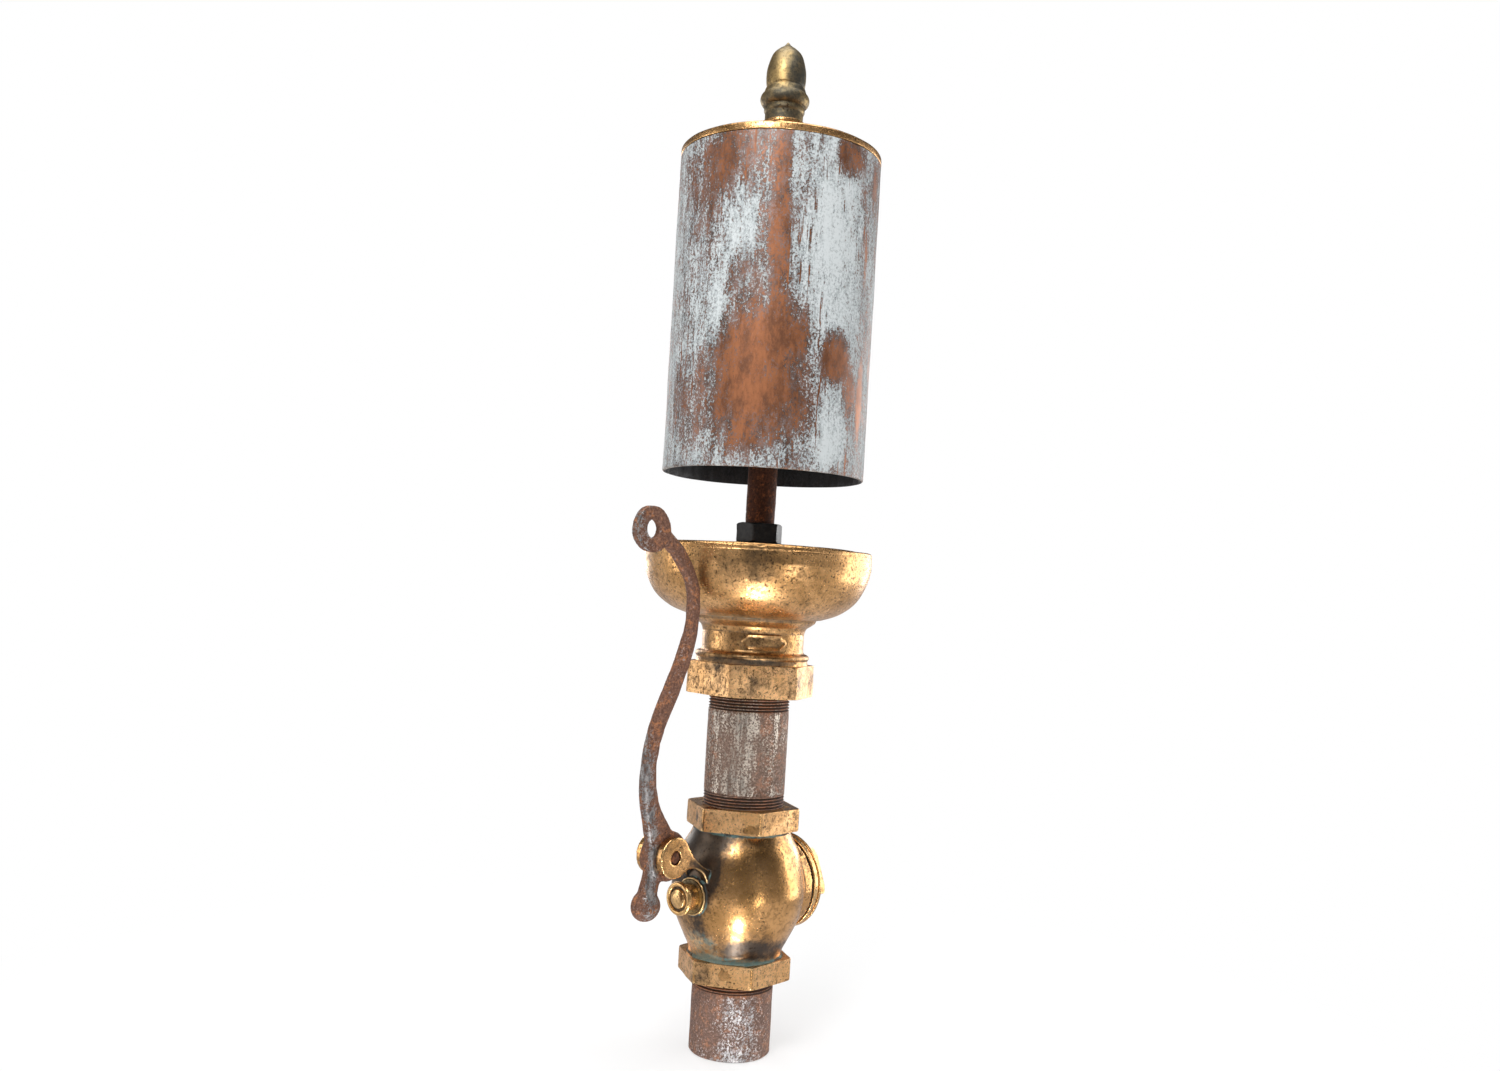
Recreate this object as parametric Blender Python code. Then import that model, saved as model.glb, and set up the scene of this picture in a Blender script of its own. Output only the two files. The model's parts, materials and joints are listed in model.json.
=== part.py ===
"""A lever-operated steam whistle: an open bell held over an annular bowl, on a globe-shaped whistle valve.

+Z runs up the whistle's axis to the acorn nut, and the valve stem lies along X, with its push button on
the -X side and the access cap on the +X side. Every piece is modelled around the whistle's axis, with
Z = 0 at the inlet pipe's lower end, and hangs on an empty that stands at AXIS_X, so that the origin is
the middle of the whole object's footprint. Lengths are in millimetres, turned into metres by MM.
"""

from math import atan2, cos, pi, radians, sin

import bmesh
import bpy
from mathutils import Matrix, Vector

MM = 0.001
GAP = 0.3  # clearance left between two pieces that touch
MERGE = 0.002  # points closer than this are one

# Two inch iron pipe, with 11.5 threads to the inch
PIPE_R = 30.15
PIPE_BORE_R = 26.25
THREAD_PITCH = 25.4 / 11.5
THREAD_DEPTH = 1.25
SOCKET_R = PIPE_R + 0.35
SOCKET_DEPTH = 20.0

# Heights up the whistle's axis
VALVE_FOOT = 56.0
STEM_Z = 120.0
VALVE_HEAD = 182.5
BOWL_FOOT = 264.5
BOWL_LIP = 373.7
BELL_LIP = 427.0
BELL_TOP = 668.0
BOSS_TOP = 690.0
TIP = 755.0

# Valve body
HEX_R = 43.0
FOOT_HEX_HEIGHT = 16.0
HEAD_HEX_HEIGHT = 16.5
GLOBE_R = 49.5
CAVITY_R = 43.0
PORT_R = 26.0
WALL_HALF = 4.0
SHELF_LOW = 25.5
SHELF_HIGH = 31.0
CAP_BOSS_R = 36.0
CAP_FACE_X = 44.0
CAP_BORE_R = 25.0
STEM_BOSS_R = 14.0
STEM_BOSS_X = -51.0
BUSH_BORE_R = 12.5
SEAT_BORE_R = 22.3

# Lever, its clevis and its pin
PIVOT_X = -80.0
PIVOT_Z = 153.0
EAR_HEAD_R = 14.6
EAR_INNER_Y = 6.65
EAR_OUTER_Y = 13.0
PIN_R = 4.6
PIN_HOLE_R = 4.9
LEVER_BOSS_R = 17.5
LEVER_BOSS_HALF = 6.25
LEVER_LEAN = 0.105  # sideways run of the arm for each unit of height, so that it passes the bowl
LEAN_START = 160.0
EYE_X = -131.4
EYE_Z = 378.2
EYE_R = 15.5
EYE_HOLE_R = 6.2
EYE_HALF = 3.0
BALL_X = -94.8
BALL_Z = 119.5
BALL_R = 11.0

# Stem and its disc
PLUNGER_R = 9.3
STEM_R = 5.5
STEM_END_R = 4.1
BUTTON_R = 12.0
DISC_R = 21.5

# Bowl, bell and spindle
BOWL_R = 85.0
BOWL_BORE_R = 75.0
BOWL_HEX_R = 49.0
BOWL_HEX_HEIGHT = 23.5
BOWL_HEX_TURN = 205.0
NECK_R = 37.9
DISC_RIM_R = 74.0
HUB_FOOT = 325.6
HUB_HEAD = 350.4
SPINDLE_R = 11.0
SPINDLE_TOP = 728.0
ROD_BORE_R = SPINDLE_R + GAP
BELL_R = 75.0
BELL_WALL = 2.4
PLATE_EDGE = 5.5

# The whistle's axis stands this far from the middle between the lever's eye and the bowl's far side.
AXIS_X = (EYE_R - EYE_X - BOWL_R) / 2

# How finely round pieces are divided
FINE = 32
MEDIUM = 24
COARSE = 16
BELL_SEGMENTS = 40

# Lays a shape turned about Z along the stem instead, with its seam off the valve's own symmetry planes.
ONTO_STEM = (
    Matrix.Translation((0, 0, STEM_Z)) @ Matrix.Rotation(pi / 2, 4, "Y") @ Matrix.Rotation(radians(4), 4, "Z")
)


def clear_scene():
    for item in list(bpy.data.objects):
        bpy.data.objects.remove(item)


def finish(name, colour, roughness, metallic):
    """A Principled material of one plain colour."""
    made = bpy.data.materials.new(name)
    made.use_nodes = True
    made.diffuse_color = (*colour, 1.0)
    shader = made.node_tree.nodes["Principled BSDF"]
    shader.inputs["Base Color"].default_value = (*colour, 1.0)
    shader.inputs["Roughness"].default_value = roughness
    shader.inputs["Metallic"].default_value = metallic
    return made


def place(name, bm, material=None):
    """Closes off a bmesh, given in millimetres, as a named object in metres."""
    bmesh.ops.remove_doubles(bm, verts=bm.verts, dist=MERGE)
    bmesh.ops.recalc_face_normals(bm, faces=bm.faces)
    bmesh.ops.scale(bm, vec=(MM, MM, MM), verts=bm.verts)
    mesh = bpy.data.meshes.new(name)
    bm.to_mesh(mesh)
    bm.free()
    mesh.shade_smooth()
    mesh.set_sharp_from_angle(angle=radians(35))
    if material:
        mesh.materials.append(material)
    made = bpy.data.objects.new(name, mesh)
    bpy.context.scene.collection.objects.link(made)
    return made


def tool(made):
    """Marks an object as a cutter or an addend, which is not itself a piece of the whistle."""
    made.hide_render = True
    made.display_type = "WIRE"
    return made


def combine(target, operation, other):
    """Adds a Boolean to target. The other object becomes a hidden helper."""
    step = target.modifiers.new(f"{operation.lower()} {other.name}", "BOOLEAN")
    step.operation = operation
    step.solver = "EXACT"
    step.object = tool(other)


def set_origin(made, x, y, z):
    """Moves an object's origin, such as onto its joint's axis, and leaves its shape where it is."""
    point = Vector((x, y, z)) * MM
    made.data.transform(Matrix.Translation(-point))
    made.location = point


def arc(centre_r, centre_z, radius, start, end, steps):
    """Points of a round stretch of a profile, from one angle to another in degrees."""
    turns = [radians(start + (end - start) * i / steps) for i in range(steps + 1)]
    return [(centre_r + radius * cos(a), centre_z + radius * sin(a)) for a in turns]


def spline(points, per_span):
    """A smooth run through points of any dimension (Catmull-Rom), ends included."""
    keys = [points[0]] + list(points) + [points[-1]]
    out = []
    for before, start, end, after in zip(keys, keys[1:], keys[2:], keys[3:]):
        for i in range(per_span):
            t = i / per_span
            out.append(
                tuple(
                    0.5 * (2 * b + (c - a) * t + (2 * a - 5 * b + 4 * c - d) * t * t
                           + (3 * b - a - 3 * c + d) * t ** 3)
                    for a, b, c, d in zip(before, start, end, after)
                )
            )
    return out + [tuple(points[-1])]


def turned(name, profile, material=None, segments=MEDIUM, along="Z", hollow=False):
    """A turned solid. The profile holds (radius, height) points, and closes on the axis unless hollow."""
    bm = bmesh.new()
    line = [bm.verts.new((r, 0, z)) for r, z in profile]
    for a, b in zip(line, line[1:]):
        bm.edges.new((a, b))
    if hollow:
        bm.edges.new((line[-1], line[0]))
    bmesh.ops.spin(
        bm,
        geom=bm.verts[:] + bm.edges[:],
        axis=(0, 0, 1),
        cent=(0, 0, 0),
        steps=segments,
        angle=2 * pi,
    )
    if along == "X":
        bmesh.ops.transform(bm, matrix=ONTO_STEM, verts=bm.verts)
    return place(name, bm, material)


def rod(name, radius, start, end, material=None, segments=MEDIUM, along="Z"):
    """A plain round bar between two heights (or two places along the stem's axis)."""
    profile = [(0, end), (radius, end), (radius, start), (0, start)]
    return turned(name, profile, material, segments, along)


def ring(name, inner, outer, start, end, material=None, segments=MEDIUM, along="Z"):
    """A plain ring or tube between two heights (or two places along the stem's axis)."""
    profile = [(outer, end), (outer, start), (inner, start), (inner, end)]
    return turned(name, profile, material, segments, along, hollow=True)


def extruded(name, outline, low, high, plane="XY"):
    """A flat outline given thickness: in the XY plane along Z, or in the XZ plane along Y."""
    bm = bmesh.new()
    if plane == "XY":
        base = [bm.verts.new((a, b, low)) for a, b in outline]
        push = (0, 0, high - low)
    else:
        base = [bm.verts.new((a, low, b)) for a, b in outline]
        push = (0, high - low, 0)
    face = bm.faces.new(base)
    grown = bmesh.ops.extrude_face_region(bm, geom=[face])
    moved = [item for item in grown["geom"] if isinstance(item, bmesh.types.BMVert)]
    bmesh.ops.translate(bm, vec=push, verts=moved)
    return place(name, bm)


def block(name, low, high):
    """A box between two corners."""
    corners = [(low[0], low[1]), (high[0], low[1]), (high[0], high[1]), (low[0], high[1])]
    return extruded(name, corners, low[2], high[2])


def polygon(sides, circumradius, turn):
    """Corners of a regular polygon, the first at the angle turn, in degrees."""
    angles = [radians(turn) + 2 * pi * i / sides for i in range(sides)]
    return [(circumradius * cos(a), circumradius * sin(a)) for a in angles]


def hexagon(name, circumradius, low, high, turn=0.0, chamfer=1.2):
    """A hexagonal prism whose corners are turned off at both ends."""
    made = extruded(name, polygon(6, circumradius, turn), low, high)
    drop = chamfer * 0.6
    limit = [
        (0, high),
        (circumradius - chamfer, high),
        (circumradius + 1, high - drop * (1 + 1 / chamfer)),
        (circumradius + 1, low + drop * (1 + 1 / chamfer)),
        (circumradius - chamfer, low),
        (0, low),
    ]
    combine(made, "INTERSECT", turned(name + "_chamfer", limit))
    return made


def threaded_run(start, end):
    """Ring grooves that stand for a pipe thread between two heights, from the top down."""
    out = []
    for i in range(int((end - start) / THREAD_PITCH)):
        crest = end - i * THREAD_PITCH
        out.append((PIPE_R, crest))
        out.append((PIPE_R - THREAD_DEPTH, crest - THREAD_PITCH / 2))
    return out


def make_inlet_pipe(material):
    end = VALVE_FOOT + SOCKET_DEPTH - GAP
    outer = [(PIPE_R - 1, end), (PIPE_R, end - 1)]
    outer += threaded_run(VALVE_FOOT - 3.2 * THREAD_PITCH, VALVE_FOOT - 0.2)
    outer += [(PIPE_R, VALVE_FOOT - 3.5 * THREAD_PITCH), (PIPE_R, 0.8), (PIPE_R - 0.8, 0)]
    bore = [(PIPE_BORE_R, 0), (PIPE_BORE_R, end)]
    turned("inlet_pipe", outer + bore, material, hollow=True)


def make_riser_nipple(material):
    low = VALVE_HEAD - SOCKET_DEPTH + GAP
    high = BOWL_FOOT + SOCKET_DEPTH + 1 - GAP
    showing = 5.2 * THREAD_PITCH
    outer = [(PIPE_R - 1, high), (PIPE_R, high - 1)]
    outer += threaded_run(BOWL_FOOT - showing, BOWL_FOOT - 0.2)
    outer += [(PIPE_R, BOWL_FOOT - showing)]
    outer += threaded_run(VALVE_HEAD + 0.2, VALVE_HEAD + showing)
    outer += [(PIPE_R, VALVE_HEAD), (PIPE_R, low + 1), (PIPE_R - 1, low)]
    bore = [(PIPE_BORE_R, low), (PIPE_BORE_R, high)]
    turned("riser_nipple", outer + bore, material, hollow=True)


def ear_outline():
    """One clevis ear seen along Y: a round head at the pivot, swept down into the globe."""
    head = arc(PIVOT_X, PIVOT_Z, EAR_HEAD_R, 51, 291, 12)
    arch = [(-68.4, 143.2), (-62.0, 143.8), (-55.4, 141.2), (-50.3, 137.0), (-47.0, 130.0)]
    under = spline([head[-1]] + arch, 2)[1:]
    inside = [(-36.0, 126.0), (-36.0, 136.0)]
    over = spline([(-47.0, 141.0), (-55.0, 145.8), (-62.3, 152.4), head[0]], 2)[:-1]
    return head + under + inside + over


def make_valve_cavity():
    """The steam space: a round chamber, a port up and a port down, and both pipe sockets."""
    chamber = arc(0, STEM_Z, CAVITY_R, 90, -90, 12)
    cavity = turned("valve_cavity", [(max(r, 0.0), z) for r, z in chamber])
    foot = [
        (0, STEM_Z - SHELF_HIGH - 1),
        (PORT_R, STEM_Z - SHELF_HIGH - 1),
        (PORT_R, VALVE_FOOT + SOCKET_DEPTH),
        (SOCKET_R, VALVE_FOOT + SOCKET_DEPTH),
        (SOCKET_R, VALVE_FOOT - 5),
        (0, VALVE_FOOT - 5),
    ]
    head = [
        (0, VALVE_HEAD + 5),
        (SOCKET_R, VALVE_HEAD + 5),
        (SOCKET_R, VALVE_HEAD - SOCKET_DEPTH),
        (PORT_R, VALVE_HEAD - SOCKET_DEPTH),
        (PORT_R, STEM_Z + SHELF_HIGH + 1),
        (0, STEM_Z + SHELF_HIGH + 1),
    ]
    combine(cavity, "UNION", turned("foot_port", foot))
    combine(cavity, "UNION", turned("head_port", head))
    combine(cavity, "DIFFERENCE", make_partition())
    bush_bore = rod("bush_bore", BUSH_BORE_R, STEM_BOSS_X - 9, -30, segments=COARSE, along="X")
    combine(cavity, "UNION", bush_bore)
    combine(cavity, "UNION", rod("cap_bore", CAP_BORE_R, 28, CAP_FACE_X + 6, along="X"))
    return cavity


def make_partition():
    """The Z-shaped wall that splits the globe: steam enters behind the disc and leaves past the stem."""
    reach = CAVITY_R + 5
    wall = block(
        "partition",
        (-WALL_HALF, -reach, STEM_Z - SHELF_HIGH),
        (WALL_HALF, reach, STEM_Z + SHELF_HIGH),
    )
    lap = WALL_HALF - 1
    shelf_end = SHELF_HIGH - 0.01
    upper = block("upper_shelf", (-lap, -reach, STEM_Z + SHELF_LOW), (reach, reach, STEM_Z + shelf_end))
    lower = block("lower_shelf", (-reach, -reach, STEM_Z - shelf_end), (lap, reach, STEM_Z - SHELF_LOW))
    combine(wall, "UNION", upper)
    combine(wall, "UNION", lower)
    combine(wall, "DIFFERENCE", rod("seat_bore", SEAT_BORE_R, -8, 8, along="X"))
    return wall


def make_valve_body(material):
    globe_keys = [
        (35.5, VALVE_HEAD - HEAD_HEX_HEIGHT),
        (38.0, STEM_Z + 40),
        (44.0, STEM_Z + 28),
        (GLOBE_R, STEM_Z + 5),
        (GLOBE_R - 0.4, STEM_Z - 7),
        (45.5, STEM_Z - 21),
        (39.0, STEM_Z - 35),
        (35.2, STEM_Z - 43),
        (35.0, VALVE_FOOT + FOOT_HEX_HEIGHT),
    ]
    globe = spline(globe_keys, 2)
    globe = [(0, VALVE_HEAD - 8), (35.5, VALVE_HEAD - 8)] + globe
    globe += [(35.0, VALVE_FOOT + 8), (0, VALVE_FOOT + 8)]
    body = turned("valve_body", globe, material, FINE)
    foot_top = VALVE_FOOT + FOOT_HEX_HEIGHT
    combine(body, "UNION", hexagon("foot_hexagon", HEX_R, VALVE_FOOT, foot_top))
    head_low = VALVE_HEAD - HEAD_HEX_HEIGHT
    combine(body, "UNION", hexagon("head_hexagon", HEX_R, head_low, VALVE_HEAD))
    boss = [
        (0, CAP_FACE_X + 2),
        (CAP_BOSS_R, CAP_FACE_X + 2),
        (CAP_BOSS_R, 34.0),
        (CAP_BOSS_R - 8, 18.0),
        (0, 18.0),
    ]
    combine(body, "UNION", turned("cap_boss", boss, along="X"))
    for side, low, high in (("near", -EAR_OUTER_Y, -EAR_INNER_Y), ("far", EAR_INNER_Y, EAR_OUTER_Y)):
        combine(body, "UNION", extruded(side + "_ear", ear_outline(), low, high, "XZ"))
    stem_boss = [
        (0, -36.0),
        (STEM_BOSS_R + 2, -36.0),
        (STEM_BOSS_R, -47.0),
        (STEM_BOSS_R, STEM_BOSS_X + 1),
        (STEM_BOSS_R - 1, STEM_BOSS_X),
        (0, STEM_BOSS_X),
    ]
    combine(body, "UNION", turned("stem_boss", stem_boss, segments=COARSE, along="X"))
    combine(body, "DIFFERENCE", cross_rod("pin_bore", PIN_HOLE_R, 20))
    combine(body, "DIFFERENCE", rod("cap_facing", CAP_BOSS_R + 9, CAP_FACE_X, 60, along="X"))
    combine(body, "DIFFERENCE", make_valve_cavity())


def cross_rod(name, radius, half, x=PIVOT_X, z=PIVOT_Z, material=None, segments=COARSE):
    """A round bar along Y, centred on the lever's pivot unless told otherwise."""
    outline = arc(x, z, radius, 0, 360, segments)[:-1]
    made = extruded(name, outline, -half, half, "XZ")
    if material:
        made.data.materials.append(material)
    return made


def make_seat_ring(material):
    profile = [
        (22.0, 4.4),
        (22.0, -4.2),
        (17.5, -4.2),
        (17.5, 5.0),
        (18.7, 5.0),
        (19.2, 4.4),
    ]
    turned("seat_ring", profile, material, along="X", hollow=True)


def make_stem_bush(material):
    ring("stem_bush", PLUNGER_R + GAP, BUSH_BORE_R - GAP, STEM_BOSS_X, -39.0, material, COARSE, "X")


def make_stem(brass, steel, facing):
    """The plunger with its disc, and the button that the lever's tail pushes."""
    profile = [
        (0, 22.0),
        (STEM_END_R - 0.6, 22.0),
        (STEM_END_R, 21.4),
        (STEM_END_R, 14.0),
        (STEM_R, 14.0),
        (STEM_R, 5.0),
        (7.5, 5.0),
        (7.5, 2.4),
        (STEM_R, 2.4),
        (STEM_R, -38.0),
        (PLUNGER_R, -38.0),
        (PLUNGER_R, -60.4),
        (4.0, -60.4),
        (4.0, -54.0),
        (0, -54.0),
    ]
    stem = [turned("valve_stem", profile, brass, COARSE, "X")]
    button = [
        (0, -54.4),
        (3.6, -54.4),
        (3.6, -60.7),
        (BUTTON_R, -60.7),
        (BUTTON_R, -63.1),
        (BUTTON_R - 0.6, -63.7),
        (9.0, -63.7),
        (8.4, -62.9),
        (7.6, -62.9),
        (6.8, -64.1),
        (3.6, -64.8),
        (0, -65.0),
    ]
    stem.append(turned("stem_button", button, brass, COARSE, "X"))
    disc = [
        (DISC_R, 14.0),
        (DISC_R, 7.0),
        (DISC_R - 1.0, 7.0),
        (DISC_R - 1.0, 9.3),
        (STEM_R + GAP, 9.3),
        (STEM_R + GAP, 14.0),
    ]
    stem.append(turned("valve_disc", disc, brass, along="X", hollow=True))
    stem.append(ring("disc_facing", STEM_R + GAP, DISC_R - 1.3, 5.3, 9.0, facing, along="X"))
    nut = hexagon("disc_nut", 8.1, 14.3, 20.3, chamfer=0.8)
    nut.data.materials.append(steel)
    lay_over(nut, Matrix.Rotation(pi / 2, 4, "Y"))
    bore = rod("disc_nut_bore", STEM_END_R + GAP, 10, 25, segments=COARSE, along="X")
    combine(nut, "DIFFERENCE", bore)
    for piece in stem + [nut]:
        set_origin(piece, 0, 0, STEM_Z)


def make_valve_spring(material):
    """A round wire wound along the stem's axis between the disc's back and the cap's pocket."""
    coil_r, wire_r, start, end, turns = 12.6, 1.2, 15.8, 49.0, 5
    steps = 12 * turns
    sides = 5
    bm = bmesh.new()
    loops = []
    for i in range(steps + 1):
        share = i / steps
        angle = 2 * pi * turns * share
        centre = Vector((start + (end - start) * share, coil_r * cos(angle), coil_r * sin(angle)))
        outward = Vector((0, cos(angle), sin(angle)))
        lean = atan2(end - start, 2 * pi * coil_r * turns)
        along = Vector((sin(lean), -sin(angle) * cos(lean), cos(angle) * cos(lean)))
        across = outward.cross(along)
        loop = []
        for k in range(sides):
            turn = 2 * pi * k / sides
            offset = wire_r * (cos(turn) * outward + sin(turn) * across)
            loop.append(bm.verts.new(centre + offset + Vector((0, 0, STEM_Z))))
        loops.append(loop)
    skin(bm, loops)
    place("valve_spring", bm, material)


def skin(bm, loops):
    """Covers a row of matching vertex loops with faces, and caps both ends."""
    for first, second in zip(loops, loops[1:]):
        count = len(first)
        for k in range(count):
            after = (k + 1) % count
            bm.faces.new((first[k], first[after], second[after], second[k]))
    bm.faces.new(reversed(loops[0]))
    bm.faces.new(loops[-1])


def lay_over(made, turn):
    """Turns a piece that was built upright, and its helpers, and moves it to the stem's height."""
    move = Matrix.Translation((0, 0, STEM_Z * MM)) @ turn
    made.data.transform(move)
    for step in made.modifiers:
        step.object.data.transform(move)


def make_cap(brass, fibre):
    gasket_foot = CAP_FACE_X + GAP
    ring("cap_gasket", CAP_BORE_R + 0.4, CAP_BOSS_R - 0.6, gasket_foot, gasket_foot + 1, fibre, along="X")
    flange_r = 36.5
    profile = [
        (0, 55.0),
        (flange_r - 1.2, 55.0),
        (flange_r, 54.0),
        (flange_r, 51.5),
        (flange_r - 1.7, 51.2),
        (flange_r - 1.7, 50.0),
        (flange_r, 49.7),
        (flange_r, CAP_FACE_X + 1.6),
        (CAP_BORE_R - 0.4, CAP_FACE_X + 1.6),
        (CAP_BORE_R - 0.4, 31.0),
        (17.0, 31.0),
        (17.0, 50.5),
        (0, 50.5),
    ]
    cap = turned("valve_cap", profile, brass, MEDIUM, "X")
    across = 36.0
    head = extruded("cap_square", polygon(4, across / 2 ** 0.5, 0), 54.0, 77.0)
    limit = [(0, 77.0), (across * 0.62, 77.0), (across * 0.72, 74.5), (across * 0.72, 53.0), (0, 53.0)]
    combine(head, "INTERSECT", turned("cap_square_chamfer", limit))
    # One corner of the square points to -Y and 22 degrees below the horizontal.
    roll = Matrix.Rotation(radians(22), 4, "X")
    lay_over(head, roll @ Matrix.Rotation(pi / 2, 4, "Y") @ Matrix.Rotation(pi / 2, 4, "Z"))
    combine(cap, "UNION", head)


def bar_sections():
    """The lever's bar from the eye to the tail: centre x, centre z, width and thickness."""
    return [
        (-121.0, 375.5, 11.5, 6.5),
        (-106.0, 365.5, 11.0, 8.0),
        (-93.0, 352.5, 10.0, 8.4),
        (-85.2, 339.0, 9.4, 8.4),
        (-82.4, 320.0, 9.8, 8.4),
        (-84.4, 298.0, 11.6, 8.6),
        (-93.5, 270.0, 12.6, 9.0),
        (-102.6, 245.0, 11.6, 9.3),
        (-105.6, 222.0, 11.0, 9.6),
        (-103.0, 200.0, 12.8, 9.8),
        (-96.5, 183.0, 15.5, 10.2),
        (-87.0, 166.0, 24.0, 10.6),
        (-84.0, 153.0, 27.0, 11.0),
        (-88.8, 143.0, 17.0, 11.0),
        (-91.8, 135.0, 13.0, 11.5),
        (-94.0, 125.0, 13.0, 13.0),
    ]


def lean_at(z):
    return -LEVER_LEAN * max(0.0, z - LEAN_START)


def make_lever(material):
    stations = spline(bar_sections(), 2)
    bm = bmesh.new()
    loops = []
    sides = 12
    for i, (x, z, width, thickness) in enumerate(stations):
        before = stations[max(i - 1, 0)]
        after = stations[min(i + 1, len(stations) - 1)]
        along = Vector((after[0] - before[0], 0, after[1] - before[1])).normalized()
        across = Vector((along.z, 0, -along.x))
        loop = []
        for k in range(sides):
            turn = 2 * pi * k / sides
            reach = width / 2 * squared(cos(turn))
            depth = thickness / 2 * squared(sin(turn))
            point = Vector((x, lean_at(z) + depth, z)) + across * reach
            loop.append(bm.verts.new(point))
        loops.append(loop)
    skin(bm, loops)
    lever = place("lever", bm, material)
    combine(lever, "UNION", cross_rod("lever_boss", LEVER_BOSS_R, LEVER_BOSS_HALF, segments=28))
    eye = cross_rod("lever_eye", EYE_R, EYE_HALF, EYE_X, EYE_Z, segments=24)
    eye.data.transform(Matrix.Translation((0, lean_at(EYE_Z) * MM, 0)))
    combine(lever, "UNION", eye)
    ball = bmesh.new()
    bmesh.ops.create_uvsphere(ball, u_segments=16, v_segments=10, radius=BALL_R)
    bmesh.ops.scale(ball, vec=(1, 0.9, 1), verts=ball.verts)
    bmesh.ops.translate(ball, vec=(BALL_X, 0, BALL_Z), verts=ball.verts)
    combine(lever, "UNION", place("lever_ball", ball))
    combine(lever, "DIFFERENCE", cross_rod("lever_bore", PIN_HOLE_R, 12))
    combine(lever, "DIFFERENCE", cross_rod("eye_bore", EYE_HOLE_R, 40, EYE_X, EYE_Z))
    set_origin(lever, PIVOT_X, 0, PIVOT_Z)


def squared(value):
    """Pushes a circle's ordinate outwards, for a bar section with flat sides and round corners."""
    return (abs(value) ** 0.7) * (1 if value >= 0 else -1)


def make_lever_pin(material):
    cross_rod("lever_pin", PIN_R, EAR_OUTER_Y - 0.6, material=material)


def below(top, points):
    """A run of a profile given as (radius, drop from a height)."""
    return [(radius, top - drop) for radius, drop in points]


def above(foot, points):
    """A run of a profile given as (radius, rise from a height)."""
    return [(radius, foot + rise) for radius, rise in points]


def make_whistle_bowl(material):
    outer = [
        (0, BOWL_LIP),
        (BOWL_R - 0.5, BOWL_LIP),
        (BOWL_R, BOWL_LIP - 0.5),
    ]
    swell = [(BOWL_R, 12.9), (82.0, 24.3), (74.8, 37.2), (63.0, 46.3), (50.0, 51.2)]
    outer += spline(below(BOWL_LIP, swell), 2)
    outer += below(BOWL_LIP, [(46.5, 51.6), (45.5, 53.7)])
    outer += spline(below(BOWL_LIP, [(43.0, 55.9), (39.4, 58.5), (NECK_R, 62.6)]), 2)
    hex_top = BOWL_FOOT + BOWL_HEX_HEIGHT
    collar = [(NECK_R, 10.7), (38.8, 8.8), (41.5, 7.6), (42.6, 5.5), (41.5, 3.4)]
    outer += spline(above(hex_top, collar), 2)
    core_r = BOWL_HEX_R * cos(pi / 6) - 1.0
    outer += [(core_r, hex_top + 0.8), (core_r, BOWL_FOOT + 8), (0, BOWL_FOOT + 8)]
    bowl = turned("whistle_bowl", outer, material, FINE)
    combine(bowl, "UNION", hexagon("bowl_hexagon", BOWL_HEX_R, BOWL_FOOT, hex_top, BOWL_HEX_TURN, 1.6))
    combine(bowl, "UNION", make_cartouche())
    inner = [(0, BOWL_LIP + 5), (BOWL_BORE_R, BOWL_LIP + 5)]
    dish = [(BOWL_BORE_R, 14.0), (71.0, 27.9), (57.0, 38.3), (38.0, 45.0), (PORT_R, 56.4)]
    inner += spline(below(BOWL_LIP, dish), 2)
    inner += [
        (PORT_R, BOWL_FOOT + SOCKET_DEPTH + 1),
        (SOCKET_R, BOWL_FOOT + SOCKET_DEPTH + 1),
        (SOCKET_R, BOWL_FOOT - 5),
        (0, BOWL_FOOT - 5),
    ]
    combine(bowl, "DIFFERENCE", turned("bowl_cavity", inner, segments=FINE))
    hub = rod("bowl_hub", 15.5, HUB_FOOT, HUB_HEAD, segments=COARSE)
    rib_half, first_rib = 3.0, 35.0
    for i in range(3):
        rib = block(f"bowl_rib_{i}", (8.0, -rib_half, HUB_FOOT + 1.5), (54.0, rib_half, HUB_FOOT + 16.0))
        rib.data.transform(Matrix.Rotation(radians(first_rib + 120 * i), 4, "Z"))
        combine(hub, "UNION", rib)
    combine(bowl, "UNION", hub)
    combine(bowl, "DIFFERENCE", rod("hub_bore", ROD_BORE_R, HUB_FOOT - 10, HUB_HEAD + 10, segments=COARSE))


def make_cartouche():
    """A plain raised lozenge with blunt ends on the bowl's neck."""
    half_length, half_height, cut, turn = 17.0, 5.2, 5.0, 235.0
    middle = BOWL_FOOT + 40.4
    outline = [
        (-half_length, 0),
        (-half_length + cut, -half_height),
        (half_length - cut, -half_height),
        (half_length, 0),
        (half_length - cut, half_height),
        (-half_length + cut, half_height),
    ]
    made = extruded("cartouche", outline, 28.0, 42.0, "XZ")
    # The outline faces +Y; a quarter turn brings that side to +X, and the last turn to its place.
    facing = Matrix.Rotation(radians(turn - 90), 4, "Z") @ Matrix.Translation((0, 0, middle * MM))
    made.data.transform(facing)
    limit = rod("cartouche_face", NECK_R + 0.9, middle - 10, middle + 10, segments=FINE)
    combine(made, "INTERSECT", limit)
    return made


def make_bowl_disc(material):
    top = BOWL_LIP + 1.2
    web = top - 5.2
    profile = [
        (DISC_RIM_R - 0.8, top),
        (DISC_RIM_R, top - 0.7),
        (DISC_RIM_R, top - 8.7),
        (70.0, top - 8.7),
        (67.0, web),
        (17.0, web),
        (17.0, HUB_HEAD + GAP),
        (ROD_BORE_R, HUB_HEAD + GAP),
        (ROD_BORE_R, top),
    ]
    turned("bowl_disc", profile, material, FINE, hollow=True)


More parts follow.
